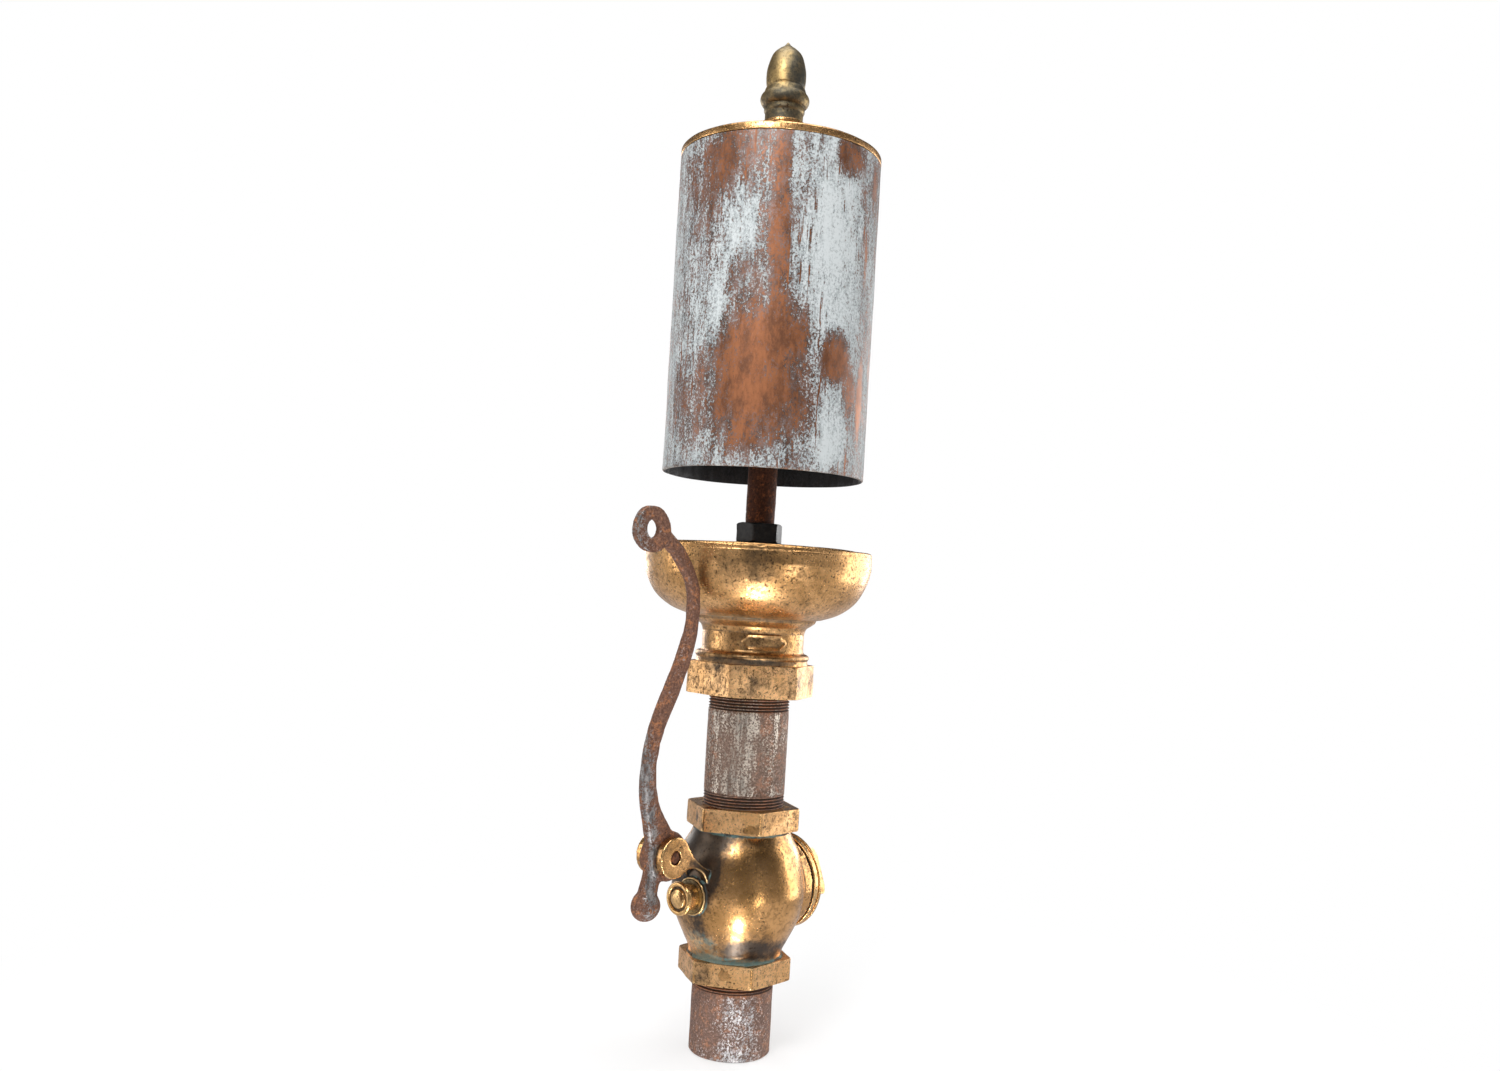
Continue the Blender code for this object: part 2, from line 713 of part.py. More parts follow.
def make_spindle(rusty, black):
    rod("spindle", SPINDLE_R, HUB_FOOT + 1, SPINDLE_TOP, rusty, COARSE)
    washer_foot = BOWL_LIP + 1.5
    washer_top = washer_foot + 2.5
    nut_foot = washer_top + GAP
    nut_top = nut_foot + 14.0
    ring("spindle_washer", ROD_BORE_R, 20.5, washer_foot, washer_top, black, MEDIUM)
    nut = hexagon("spindle_nut", 17.9, nut_foot, nut_top, BOWL_HEX_TURN + 3, 1.2)
    nut.data.materials.append(black)
    bore = rod("spindle_nut_bore", ROD_BORE_R, nut_foot - 10, nut_top + 10, segments=COARSE)
    combine(nut, "DIFFERENCE", bore)


def make_bell(copper, brass, black):
    plate_low = BELL_TOP - PLATE_EDGE
    profile = [
        (BELL_R, plate_low - GAP),
        (BELL_R, BELL_LIP),
        (BELL_R - BELL_WALL, BELL_LIP),
        (BELL_R - BELL_WALL, plate_low - GAP),
    ]
    turned("bell_tube", profile, copper, BELL_SEGMENTS, hollow=True)
    spigot_r = BELL_R - BELL_WALL - GAP
    spigot_low = plate_low - 6
    plate = [
        (16.5, BOSS_TOP),
        (16.5, BELL_TOP + 5),
        (18.0, BELL_TOP + 1.5),
        (22.0, BELL_TOP),
        (BELL_R - 1, BELL_TOP),
        (BELL_R, BELL_TOP - 1),
        (BELL_R, plate_low),
        (spigot_r, plate_low),
        (spigot_r, spigot_low),
        (ROD_BORE_R, spigot_low),
        (ROD_BORE_R, BOSS_TOP),
    ]
    turned("bell_top_plate", plate, brass, BELL_SEGMENTS, hollow=True)
    ring("bell_washer", ROD_BORE_R, 16.6, BOSS_TOP + GAP, BOSS_TOP + GAP + 2.4, brass, MEDIUM)
    nut_high = spigot_low - GAP
    nut = hexagon("bell_jam_nut", 18.5, nut_high - 13, nut_high, 10, 1.2)
    nut.data.materials.append(black)
    bore = rod("bell_jam_nut_bore", ROD_BORE_R, nut_high - 20, nut_high + 10, segments=COARSE)
    combine(nut, "DIFFERENCE", bore)


def make_acorn_nut(material):
    foot = BOSS_TOP + 3.0
    outer = [(0, TIP)]
    outer += spline(below(TIP, [(3.1, 3.3), (7.2, 6.2), (11.5, 11.0), (14.4, 20.5), (15.0, 27.0)]), 2)
    outer += below(TIP, [(14.6, 33.5), (14.0, 35.0), (15.4, 36.4)])
    bead_z = TIP - 44.5
    outer += arc(12.4, bead_z, 6.0, 50, -50, 4)
    outer += [(15.2, bead_z - 7.1), (15.2, bead_z - 9.1), (14.4, bead_z - 10.1), (14.2, foot)]
    bore_top = SPINDLE_TOP + 8
    bore = [(ROD_BORE_R, foot), (ROD_BORE_R, bore_top), (0, bore_top + 3)]
    turned("acorn_nut", outer + bore, material, COARSE + 2)


def hang_on_axis():
    """Parents every piece and helper to one empty that stands where the whistle's axis is."""
    axis = bpy.data.objects.new("whistle_axis", None)
    axis.location = (AXIS_X * MM, 0, 0)
    for made in list(bpy.data.objects):
        if made != axis:
            made.parent = axis
    bpy.context.scene.collection.objects.link(axis)


def main():
    clear_scene()
    old_brass = finish("old_brass", (0.47, 0.31, 0.12), 0.36, 1.0)
    gold_brass = finish("gold_brass", (0.66, 0.43, 0.14), 0.28, 1.0)
    patina = finish("patina_copper", (0.42, 0.40, 0.38), 0.60, 0.5)
    bronze = finish("dark_bronze", (0.30, 0.22, 0.09), 0.40, 1.0)
    rust = finish("rusty_iron", (0.24, 0.11, 0.06), 0.75, 0.4)
    pipe = finish("worn_pipe", (0.27, 0.21, 0.18), 0.60, 0.7)
    black = finish("black_iron", (0.03, 0.03, 0.032), 0.50, 0.8)
    steel = finish("spring_steel", (0.45, 0.45, 0.46), 0.35, 1.0)
    fibre = finish("red_fibre", (0.30, 0.09, 0.05), 0.85, 0.0)
    make_inlet_pipe(pipe)
    make_valve_body(old_brass)
    make_seat_ring(bronze)
    make_stem_bush(bronze)
    make_stem(gold_brass, steel, fibre)
    make_valve_spring(steel)
    make_cap(gold_brass, fibre)
    make_lever(rust)
    make_lever_pin(rust)
    make_riser_nipple(pipe)
    make_whistle_bowl(gold_brass)
    make_bowl_disc(gold_brass)
    make_spindle(rust, black)
    make_bell(patina, gold_brass, black)
    make_acorn_nut(bronze)
    hang_on_axis()


main()
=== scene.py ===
"""The looks of a lever-operated steam whistle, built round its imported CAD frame.

Every visible piece is rebuilt finely from the frame's measurements, and rides on its CAD body. Lengths are
in millimetres from the foot of the whistle's axis, with Z up, and MM turns them into metres. Angles round
the axis are in degrees from +X.
"""

import json
from math import cos, pi, radians, sin

import bmesh
import bpy
import numpy as np
from mathutils import Matrix, Vector, noise


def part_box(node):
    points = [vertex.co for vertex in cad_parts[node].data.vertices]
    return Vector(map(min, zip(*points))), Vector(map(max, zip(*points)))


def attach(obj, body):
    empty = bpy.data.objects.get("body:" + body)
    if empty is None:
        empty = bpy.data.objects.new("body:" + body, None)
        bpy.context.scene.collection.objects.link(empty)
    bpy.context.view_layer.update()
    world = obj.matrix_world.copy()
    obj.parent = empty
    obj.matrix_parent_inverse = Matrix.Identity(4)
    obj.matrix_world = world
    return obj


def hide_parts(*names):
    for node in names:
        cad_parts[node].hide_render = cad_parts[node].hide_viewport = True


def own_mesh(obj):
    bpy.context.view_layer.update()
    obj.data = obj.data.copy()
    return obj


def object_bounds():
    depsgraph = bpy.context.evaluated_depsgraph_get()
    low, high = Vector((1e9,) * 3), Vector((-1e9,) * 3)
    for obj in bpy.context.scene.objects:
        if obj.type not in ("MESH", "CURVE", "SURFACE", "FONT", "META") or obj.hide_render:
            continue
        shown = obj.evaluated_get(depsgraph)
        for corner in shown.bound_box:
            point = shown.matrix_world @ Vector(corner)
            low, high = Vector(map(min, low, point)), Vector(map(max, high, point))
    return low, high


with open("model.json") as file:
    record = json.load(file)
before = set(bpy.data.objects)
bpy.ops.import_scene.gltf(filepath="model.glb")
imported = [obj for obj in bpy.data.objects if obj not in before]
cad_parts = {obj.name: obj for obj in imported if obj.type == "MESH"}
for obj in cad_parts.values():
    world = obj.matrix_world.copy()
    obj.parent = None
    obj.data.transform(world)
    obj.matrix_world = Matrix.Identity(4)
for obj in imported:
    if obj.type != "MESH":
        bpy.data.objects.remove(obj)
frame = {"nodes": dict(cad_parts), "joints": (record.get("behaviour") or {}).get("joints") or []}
cad_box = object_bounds()

MM = 0.001
pipe_low, pipe_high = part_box("inlet_pipe")
AXIS = Vector(((pipe_low.x + pipe_high.x) / 2, (pipe_low.y + pipe_high.y) / 2, pipe_low.z))


def low(node):
    """The lowest corner of a CAD node, in millimetres from the foot of the axis."""
    return (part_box(node)[0] - AXIS) / MM


def high(node):
    return (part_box(node)[1] - AXIS) / MM


def lever_edge(height):
    """How far the lever's outer edge stands from the axis at a height."""
    corners = np.array([v.co for v in frame["nodes"]["lever"].data.vertices]) - np.array(AXIS)
    near = np.abs(corners[:, 2] / MM - height) < 5
    return -corners[near, 0].min() / MM


def ends(node):
    """The heights of a CAD node's foot and top."""
    return low(node).z, high(node).z


def joint(name):
    return next(j for j in frame["joints"] if j["name"] == name)


# Sizes taken from the frame
PIPE_R = high("inlet_pipe").x
PIPE_TOP = high("inlet_pipe").z
RISER_FOOT, RISER_TOP = ends("riser_nipple")
VALVE_FOOT, VALVE_HEAD = ends("valve_body")
BOWL_FOOT, BOWL_LIP = ends("whistle_bowl")
BOWL_R = high("whistle_bowl").x
RIM_DISC_R = high("bowl_disc").x
RIM_DISC_FOOT, RIM_DISC_TOP = ends("bowl_disc")
SPINDLE_R = high("spindle").x
SPINDLE_FOOT, SPINDLE_TOP = ends("spindle")
BELL_R = high("bell_tube").x
BELL_LIP, BELL_SHOULDER = ends("bell_tube")
PLATE_FOOT, BOSS_TOP = ends("bell_top_plate")
ACORN_FOOT, TIP = ends("acorn_nut")
BUTTON_FOOT, BUTTON_TOP = ends("stem_button")
STEM_Z = (BUTTON_FOOT + BUTTON_TOP) / 2
BUTTON_R = (BUTTON_TOP - BUTTON_FOOT) / 2
BUTTON_END = low("stem_button").x
CAP_INNER_END = low("valve_cap").x
CAP_OUTER_END = high("valve_cap").x
PIVOT = (Vector(joint("lever_pull")["pos_m"]) - AXIS) / MM

# Sizes that the frame's boxes don't show. HEX_R and BOWL_HEX_R reach to the corners
GAP = 0.3
PIPE_BORE_R = PIPE_R - 3.9
PIPE_SOCKET_R = PIPE_R + 0.3
ROD_HOLE_R = SPINDLE_R + 0.4
THREAD_PITCH = 25.4 / 11.5
THREAD_DEPTH = 1.25
HEX_R = 43.0
FOOT_HEX_HEIGHT = 16.1
HEAD_HEX_HEIGHT = 16.6
BOWL_HEX_R = 49.0
BOWL_HEX_HEIGHT = 23.5
BOWL_HEX_TURN = 205.0
NECK_R = 37.9
BELL_TOP = BELL_SHOULDER + GAP + 5.5
BELL_WALL = 2.4
CAP_FACE = CAP_INNER_END + 13.0

# Where the camera stands. VIEW_TURN is in degrees from -Y, and FACING is the same direction from +X
VIEW_TURN = -48.0
VIEW_DISTANCE = 950.0
VIEW_HEIGHT = 339.0
FACING = VIEW_TURN - 90.0


# ---- profiles


def curve(points, steps):
    """A smooth run through points (Catmull-Rom), ends included."""
    keys = np.array([points[0], *points, points[-1]], float)
    out = []
    for a, b, c, d in zip(keys, keys[1:], keys[2:], keys[3:]):
        for t in np.arange(steps) / steps:
            bend = (2 * a - 5 * b + 4 * c - d) * t * t + (3 * b - a - 3 * c + d) * t ** 3
            out.append(tuple(0.5 * (2 * b + (c - a) * t + bend)))
    return out + [tuple(points[-1])]


def arc(centre, radius, start, end, steps):
    """Points round a centre, from one angle to another in degrees."""
    turns = [radians(start + (end - start) * i / steps) for i in range(steps + 1)]
    return [(centre[0] + radius * cos(a), centre[1] + radius * sin(a)) for a in turns]


def below(top, drops):
    """Outline points from (radius, how far below top) pairs."""
    return [(radius, top - drop) for radius, drop in drops]


def eased(points, radius):
    """The same outline with its corners rounded off."""
    out = [points[0]]
    for before, corner, after in zip(points, points[1:], points[2:]):
        a, b, c = Vector(before), Vector(corner), Vector(after)
        back, ahead = a - b, c - b
        if back.length < 1e-6 or ahead.length < 1e-6 or back.angle(-ahead) < 0.25:
            out.append(corner)
            continue
        start = b + back.normalized() * min(radius, back.length * 0.45)
        end = b + ahead.normalized() * min(radius, ahead.length * 0.45)
        for i in range(5):
            t = i / 4
            out.append(tuple(start * (1 - t) ** 2 + b * 2 * t * (1 - t) + end * t * t))
    return out + [points[-1]]


def dense(points, step):
    """The same outline with no stretch longer than step."""
    out = []
    for a, b in zip(points, points[1:]):
        count = max(1, int(np.hypot(b[0] - a[0], b[1] - a[1]) / step + 0.5))
        out += [(a[0] + (b[0] - a[0]) * i / count, a[1] + (b[1] - a[1]) * i / count) for i in range(count)]
    return out + [points[-1]]


# ---- turned surfaces


def polygon_reach(angle, sides, across, turn, sharpness=60):
    """How far a polygon's sides lie from its centre, with slightly rounded corners. A corner is at turn."""
    total = 0
    for i in range(sides):
        facing = radians(turn + (i + 0.5) * 360 / sides)
        total = total + np.maximum(np.cos(angle - facing), 1e-6) ** sharpness
    return across / 2 / total ** (1 / sharpness)


def milled(sides, across, turn):
    """A shape that mills flats onto a turned piece."""

    def shape(radius, angle, height):
        return np.minimum(radius, polygon_reach(angle, sides, across, turn))

    return shape


def threaded(*runs):
    """A shape that cuts a helical thread into the outside of a pipe, over each run of heights."""

    def shape(radius, angle, height):
        phase = (height / THREAD_PITCH - angle / (2 * pi)) % 1.0
        groove = np.clip(1.25 - np.abs(phase - 0.5) * 2 * 1.35, 0, 1)
        share = 0
        for start, end in runs:
            run_in = np.clip((height - start) / THREAD_PITCH, 0, 1)
            run_out = np.clip((end - height) / THREAD_PITCH, 0, 1)
            share = share + run_in * run_out
        outside = radius > PIPE_BORE_R + 2
        return radius - THREAD_DEPTH * groove * np.clip(share, 0, 1) * outside

    return shape


def ring_faces(rings, sides, closed):
    """The faces between rings of points. Closed joins the last ring to the first."""
    first = np.repeat(np.arange(rings if closed else rings - 1)[:, None], sides, 1)
    second = (first + 1) % rings
    column = np.arange(sides)[None, :]
    after = (column + 1) % sides
    corners = [first * sides + column, first * sides + after, second * sides + after, second * sides + column]
    return np.stack(corners, -1).reshape(-1, 4)


def lathe(name, profile, segments, along="Z", shape=None, turn=0.0):
    """A turned piece from (radius, height) points: solid if they start on the axis, or else a ring."""
    angles = radians(turn) + np.arange(segments) * 2 * pi / segments
    radius, height = np.array(profile, float).T
    radius = np.repeat(radius[:, None], segments, 1)
    height = np.repeat(height[:, None], segments, 1)
    if shape:
        radius = shape(radius, angles[None, :], height)
    points = np.stack([radius * np.cos(angles), radius * np.sin(angles), height], -1).reshape(-1, 3)
    closed = profile[0][0] > 0
    return build(name, points, ring_faces(len(profile), segments, closed), along)


def add(name, data):
    """A new object in the scene, at the foot of the axis."""
    made = bpy.data.objects.new(name, data)
    made.location = AXIS
    bpy.context.scene.collection.objects.link(made)
    return made


def build(name, points, faces, along="Z"):
    """An object from points in millimetres round the axis, or round the stem for along X."""
    if along == "X":
        points = np.stack([points[:, 2], points[:, 0], points[:, 1] + STEM_Z], -1)
    mesh = bpy.data.meshes.new(name)
    mesh.from_pydata((points * MM).tolist(), [], faces.tolist())
    bm = bmesh.new()
    bm.from_mesh(mesh)
    bmesh.ops.remove_doubles(bm, verts=bm.verts, dist=0.004 * MM)
    bmesh.ops.recalc_face_normals(bm, faces=bm.faces)
    bm.to_mesh(mesh)
    bm.free()
    return add(name, mesh)


def read(mesh, what, width=3):
    values = np.empty(len(mesh.vertices) * width, np.float32)
    mesh.vertices.foreach_get(what, values)
    return values.reshape(-1, width).astype(float)


def write(mesh, points):
    mesh.vertices.foreach_set("co", points.astype(np.float32).ravel())
    mesh.update()


def weather(made, lumps, pits=(0.0, 1.6), pit_start=0.25, seed=0.0, smooth_past=None):
    """Moves the surface by slow lumps and pits, each (depth, size), and little past radius smooth_past."""
    (lump_depth, lump_size), (pit_depth, pit_size) = lumps, pits
    mesh = made.data
    points, normals = read(mesh, "co"), read(mesh, "normal")
    moved = np.zeros(len(points))
    offset = Vector((seed, seed * 1.7, seed * 0.6))
    for i, point in enumerate(points / MM):
        here = Vector(point)
        slow = noise.noise(here / lump_size + offset)
        deep = noise.noise(here / pit_size + offset)
        fine = noise.noise(here / (pit_size * 0.45) - offset)
        hole = max(0.0, deep * 0.7 + fine * 0.4 - pit_start)
        moved[i] = lump_depth * slow - pit_depth * hole
    if smooth_past:
        reach = np.hypot(points[:, 0], points[:, 1]) / MM
        moved *= np.clip(1 - (reach - smooth_past) / 3, 0.15, 1)
    write(mesh, points + normals * moved[:, None] * MM)


def mark_relief(made, crest=None):
    """Stores how far each point sticks out (1) or lies in a hollow (-1), which the finishes read."""
    mesh = made.data
    points, normals = read(mesh, "co") / MM, read(mesh, "normal")
    edges = np.empty(len(mesh.edges) * 2, np.int32)
    mesh.edges.foreach_get("vertices", edges)
    a, b = edges.reshape(-1, 2).T
    size = len(points)
    count = np.maximum(np.bincount(a, minlength=size) + np.bincount(b, minlength=size), 1)

    def around(values):
        total = np.bincount(a, weights=values[b], minlength=size)
        return (total + np.bincount(b, weights=values[a], minlength=size)) / count

    length = np.linalg.norm(points[a] - points[b], axis=1)
    reach = np.bincount(a, weights=length ** 2, minlength=size)
    reach = (reach + np.bincount(b, weights=length ** 2, minlength=size)) / count
    pull = np.stack([around(points[:, k]) for k in range(3)], -1) - points
    relief = -2 * (pull * normals).sum(1) / np.maximum(reach, 0.05)
    for _ in range(3):
        relief = 0.5 * relief + 0.5 * around(relief)
    if crest:
        reach = np.hypot(points[:, 0], points[:, 1])
        relief = relief - np.clip((crest - reach) / THREAD_DEPTH, 0, 1) * (reach > PIPE_BORE_R + 1.5)
    layer = mesh.attributes.new("relief", "FLOAT", "POINT")
    layer.data.foreach_set("value", np.clip(relief * 2, -1, 1).astype(np.float32))


def settle(made, finish, node, body="whistle", sharp=38, crest=None):
    """Gives a piece its finish and its body, and lets it stand for its CAD node."""
    mark_relief(made, crest)
    made.data.shade_smooth()
    made.data.set_sharp_from_angle(angle=radians(sharp))
    made.data.materials.clear()
    made.data.materials.append(finish)
    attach(made, body)
    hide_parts(node)


def recast(name, node, voxel, rounds):
    """A finer copy of a CAD node: its mesh rebuilt in small even cells, with every corner softened."""
    made = add(name, frame["nodes"][node].data.copy())
    made.data.transform(Matrix.Translation(-AXIS))
    cells = made.modifiers.new("cells", "REMESH")
    cells.mode = "VOXEL"
    cells.voxel_size = voxel * MM
    soft = made.modifiers.new("soft", "SMOOTH")
    soft.factor = 0.5
    soft.iterations = rounds
    graph = bpy.context.evaluated_depsgraph_get()
    done = bpy.data.meshes.new_from_object(made.evaluated_get(graph))
    made.modifiers.clear()
    made.data = done
    return made


# ---- finishes


class Graph:
    """A tree of shader nodes."""

    def __init__(self, tree):
        self.tree = tree

    def feed(self, socket, value):
        """Links a node's result to a socket, or sets the socket to a plain value."""
        if isinstance(value, bpy.types.NodeSocket):
            self.tree.links.new(value, socket)
        else:
            socket.default_value = value

    def node(self, kind, inputs=None, **settings):
        made = self.tree.nodes.new("ShaderNode" + kind)
        for key, value in settings.items():
            setattr(made, key, value)
        for key, value in (inputs or {}).items():
            self.feed(made.inputs[key], value)
        return made

    def mix(self, share, a, b):
        """A colour between a and b."""
        a, b = (tone if isinstance(tone, bpy.types.NodeSocket) else (*tone, 1.0) for tone in (a, b))
        return self.node("Mix", {0: share, 6: a, 7: b}, data_type="RGBA", clamp_factor=True).outputs[2]


class Paint(Graph):
    """A Principled material built up from nodes, in the piece's own coordinates.

    Finishes with different shifts have different noise.
    """

    def __init__(self, name, shift=0.0):
        self.shift = shift
        self.material = bpy.data.materials.new(name)
        self.material.use_nodes = True
        super().__init__(self.material.node_tree)
        self.shader = self.tree.nodes["Principled BSDF"]
        self.place = self.node("TexCoord").outputs["Object"]
        self.relief = self.node("Attribute", attribute_name="relief").outputs["Fac"]

    def noise(self, size, detail=4.0, rough=0.6, squash=1.0, shift=0.0, warp=0.0):
        """Cloudy noise with features of about size mm. Squash below 1 draws it out along Z."""
        scale = 1.0 / (size * MM)
        shift += self.shift
        inputs = {
            "Vector": self.place,
            "Location": (shift, shift * 1.3, shift * 0.7),
            "Scale": (scale, scale, scale * squash),
        }
        place = self.node("Mapping", inputs).outputs[0]
        inputs = {"Vector": place, "Scale": 1.0, "Detail": detail, "Roughness": rough, "Distortion": warp}
        return self.node("TexNoise", inputs).outputs["Fac"]

    def maths(self, operation, a, b):
        return self.node("Math", {0: a, 1: b}, operation=operation).outputs[0]

    def times(self, a, b):
        return self.maths("MULTIPLY", a, b)

    def band(self, value, start, end):
        """0 up to start, 1 past end, and smooth between. Start may be the higher one."""
        inputs = {"Value": value, "From Min": start, "From Max": end}
        return self.node("MapRange", inputs, interpolation_type="SMOOTHSTEP").outputs["Result"]

    def tones(self, grain, start, end, a, b):
        """Colour a where the grain is under start, and b where it is over end."""
        return self.mix(self.band(grain, start, end), a, b)

    def blend(self, share, a, b):
        """A number between a and b."""
        return self.node("Mix", {0: share, 2: a, 3: b}, data_type="FLOAT", clamp_factor=True).outputs[0]

    def spot(self, turn, radius, height, wide, tall):
        """1 at a place and 0 outside an oval round it.

        Turn is in degrees from the viewer's side, and wide and tall are half sizes in millimetres.
        """
        angle = radians(FACING + turn)
        centre = Vector((radius * cos(angle), radius * sin(angle), height)) * MM
        away = self.node("VectorMath", {0: self.place, 1: centre}, operation="SUBTRACT").outputs[0]
        scale = Vector((1 / wide, 1 / wide, 1 / tall)) / MM
        away = self.node("VectorMath", {0: away, 1: scale}, operation="MULTIPLY").outputs[0]
        away = self.node("VectorMath", {0: away}, operation="LENGTH").outputs["Value"]
        return self.band(away, 1.35, 0.45)

    def add(self, field, value, gain):
        return self.maths("ADD", field, self.times(value, gain))

    def with_spots(self, field, spots):
        """A field raised or lowered by each spot's gain."""
        for *place, gain in spots:
            field = self.add(field, self.spot(*place), gain)
        return field

    def finish(self, colour, roughness, metallic, bumps):
        """Links the results up. Bumps holds (height in 0 to 1, depth in mm) pairs."""
        results = {"Base Color": colour, "Roughness": roughness, "Metallic": metallic}
        for height, depth in bumps:
            inputs = {"Height": height, "Distance": depth * MM, "Strength": 1.0}
            if "Normal" in results:
                inputs["Normal"] = results["Normal"]
            results["Normal"] = self.node("Bump", inputs).outputs["Normal"]
        for name, value in results.items():
            self.feed(self.shader.inputs[name], value)
        return self.material


def brass(
    name, clean, deep, smoke_level=0.0, gloss=0.26, crust=0.6, pitting=0.5, scratched=0.0, grit=0.13,
    film_and_shade_tone=(0.040, 0.036, 0.032), shift=0.0, film_and_shade_spots=(), mossy=(), dark_shade_spots=(),
):
    """Old brass: two tones of metal under a dark tarnish, with brown grain, pits, green in the hollows, and
    painted shade and highlights.
    """
    paint = Paint(name, shift)
    metal = paint.tones(paint.noise(24, 3), 0.36, 0.64, clean, deep)
    grain = paint.noise(3.6, 7, 0.8, shift=3)
    brown = paint.times(paint.band(grain, 0.47, 0.60), 0.55)
    colour = paint.mix(brown, metal, tuple(c * 0.36 for c in deep))
    film_and_shade_field = paint.add(paint.noise(26, 4, 0.6, shift=5), paint.relief, -0.12)
    film_and_shade_field = paint.add(film_and_shade_field, grain, 0.55)
    # Painted shade and highlight: placed spots thicken the dark tarnish as painted shade, and a negative gain
    # thins it as a painted highlight
    film_and_shade_field = paint.with_spots(film_and_shade_field, film_and_shade_spots)
    film_and_shade = paint.times(paint.band(film_and_shade_field, 0.80 - smoke_level, 1.24 - smoke_level), 0.92)
    colour = paint.mix(film_and_shade, colour, film_and_shade_tone)
    dots = paint.band(paint.noise(1.7, 2, 0.6, shift=7), 0.57, 0.63)
    patches = paint.band(paint.noise(11, 5, 0.75, shift=8), 0.62 - pitting * 0.3, 0.62)
    dots = paint.times(dots, patches)
    lines = paint.band(paint.noise(1.7, 3, 0.6, squash=0.14, shift=15), 0.60, 0.68)
    lines = paint.times(lines, paint.band(paint.noise(13, 3, shift=16), 0.46, 0.58))
    dots = paint.maths("MAXIMUM", dots, paint.times(lines, scratched))
    colour = paint.mix(paint.times(dots, 0.9), colour, (0.035, 0.022, 0.013))
    hollow = paint.times(paint.relief, -1.0)
    hollow = paint.add(hollow, paint.noise(4, 5, 0.75, shift=9), 0.55)
    # Painted shade: these spots fill creases and placed patches with crust, which the lines below turn
    # near-black instead of green
    hollow = paint.with_spots(hollow, (*mossy, *dark_shade_spots))
    hollow = paint.times(paint.band(hollow, 0.42, 0.68), crust)
    green_field = paint.with_spots(paint.noise(8, 3, shift=11), mossy)
    green_field = paint.with_spots(green_field, [(*place, -0.4) for *place, _ in dark_shade_spots])
    green = paint.tones(green_field, 0.48, 0.64, (0.030, 0.034, 0.032), (0.12, 0.23, 0.22))
    colour = paint.mix(hollow, colour, green)
    edge = paint.times(paint.band(paint.relief, 0.22, 0.75), 0.6)
    colour = paint.mix(edge, colour, tuple(min(1.0, c * 1.25 + 0.05) for c in clean))
    rough = paint.blend(brown, gloss, gloss + 0.22)
    rough = paint.blend(film_and_shade, rough, gloss + 0.16)
    rough = paint.blend(hollow, rough, 0.85)
    metallic = paint.blend(hollow, 1.0, 0.15)
    bumps = [(paint.noise(2.2, 4, 0.65, shift=13), grit), (dots, grit * -1.2)]
    return paint.finish(colour, rough, metallic, bumps)


def iron(
    name, bare, brown, orange, bareness=0.0, bloom_level=0.0, gloss=0.40, shift=0.0, drawn=1.0, speckle=1.1,
    wear_and_sheen=(), rust_and_shade=(),
):
    """Iron under brown scale with orange specks, rubbed to speckled bare metal on what sticks out; spots
    paint sheen and shade, and hollows are painted near-black as shade.
    """
    paint = Paint(name, shift)
    grain = paint.noise(1.5, 4, 0.75, shift=2)
    cloud = paint.noise(13, 5, 0.7, squash=drawn)
    streak = paint.noise(3.2, 5, 0.7, squash=drawn * 0.35, shift=6)
    field = paint.times(paint.maths("SUBTRACT", grain, 0.5), speckle)
    field = paint.add(paint.add(field, cloud, 0.7), streak, 0.35)
    field = paint.add(field, paint.relief, 0.30)
    # Placed spots bare the metal, as wear and as a painted sheen facing the viewer, or rust it, as rust and
    # as painted shade
    field = paint.with_spots(field, wear_and_sheen)
    field = paint.with_spots(field, [(*place, -gain) for *place, gain in rust_and_shade])
    show = paint.band(field, 0.81 - bareness, 0.95 - bareness)
    scale = paint.tones(grain, 0.38, 0.62, tuple(c * 0.42 for c in brown), brown)
    bloom = paint.add(paint.noise(6, 6, 0.78, shift=4), grain, 0.35)
    bloom = paint.with_spots(bloom, [(*place, 0.10) for *place, _ in rust_and_shade])
    bloom = paint.times(paint.band(bloom, 0.76 - bloom_level, 0.90 - bloom_level), 0.85)
    scale = paint.mix(bloom, scale, orange)
    metal = paint.tones(streak, 0.38, 0.60, tuple(c * 0.34 for c in bare), bare)
    colour = paint.mix(show, scale, metal)
    # Painted shade: hollows such as thread grooves and pits turn near-black
    hollow_shade = paint.times(paint.band(paint.relief, -0.12, -0.55), 0.85)
    colour = paint.mix(hollow_shade, colour, (0.022, 0.012, 0.009))
    rough = paint.blend(show, 0.80, gloss)
    metallic = paint.blend(show, 0.22, 0.9)
    bumps = [(grain, 0.22), (paint.noise(4.5, 4, 0.7, shift=8), 0.22)]
    return paint.finish(colour, rough, metallic, bumps)


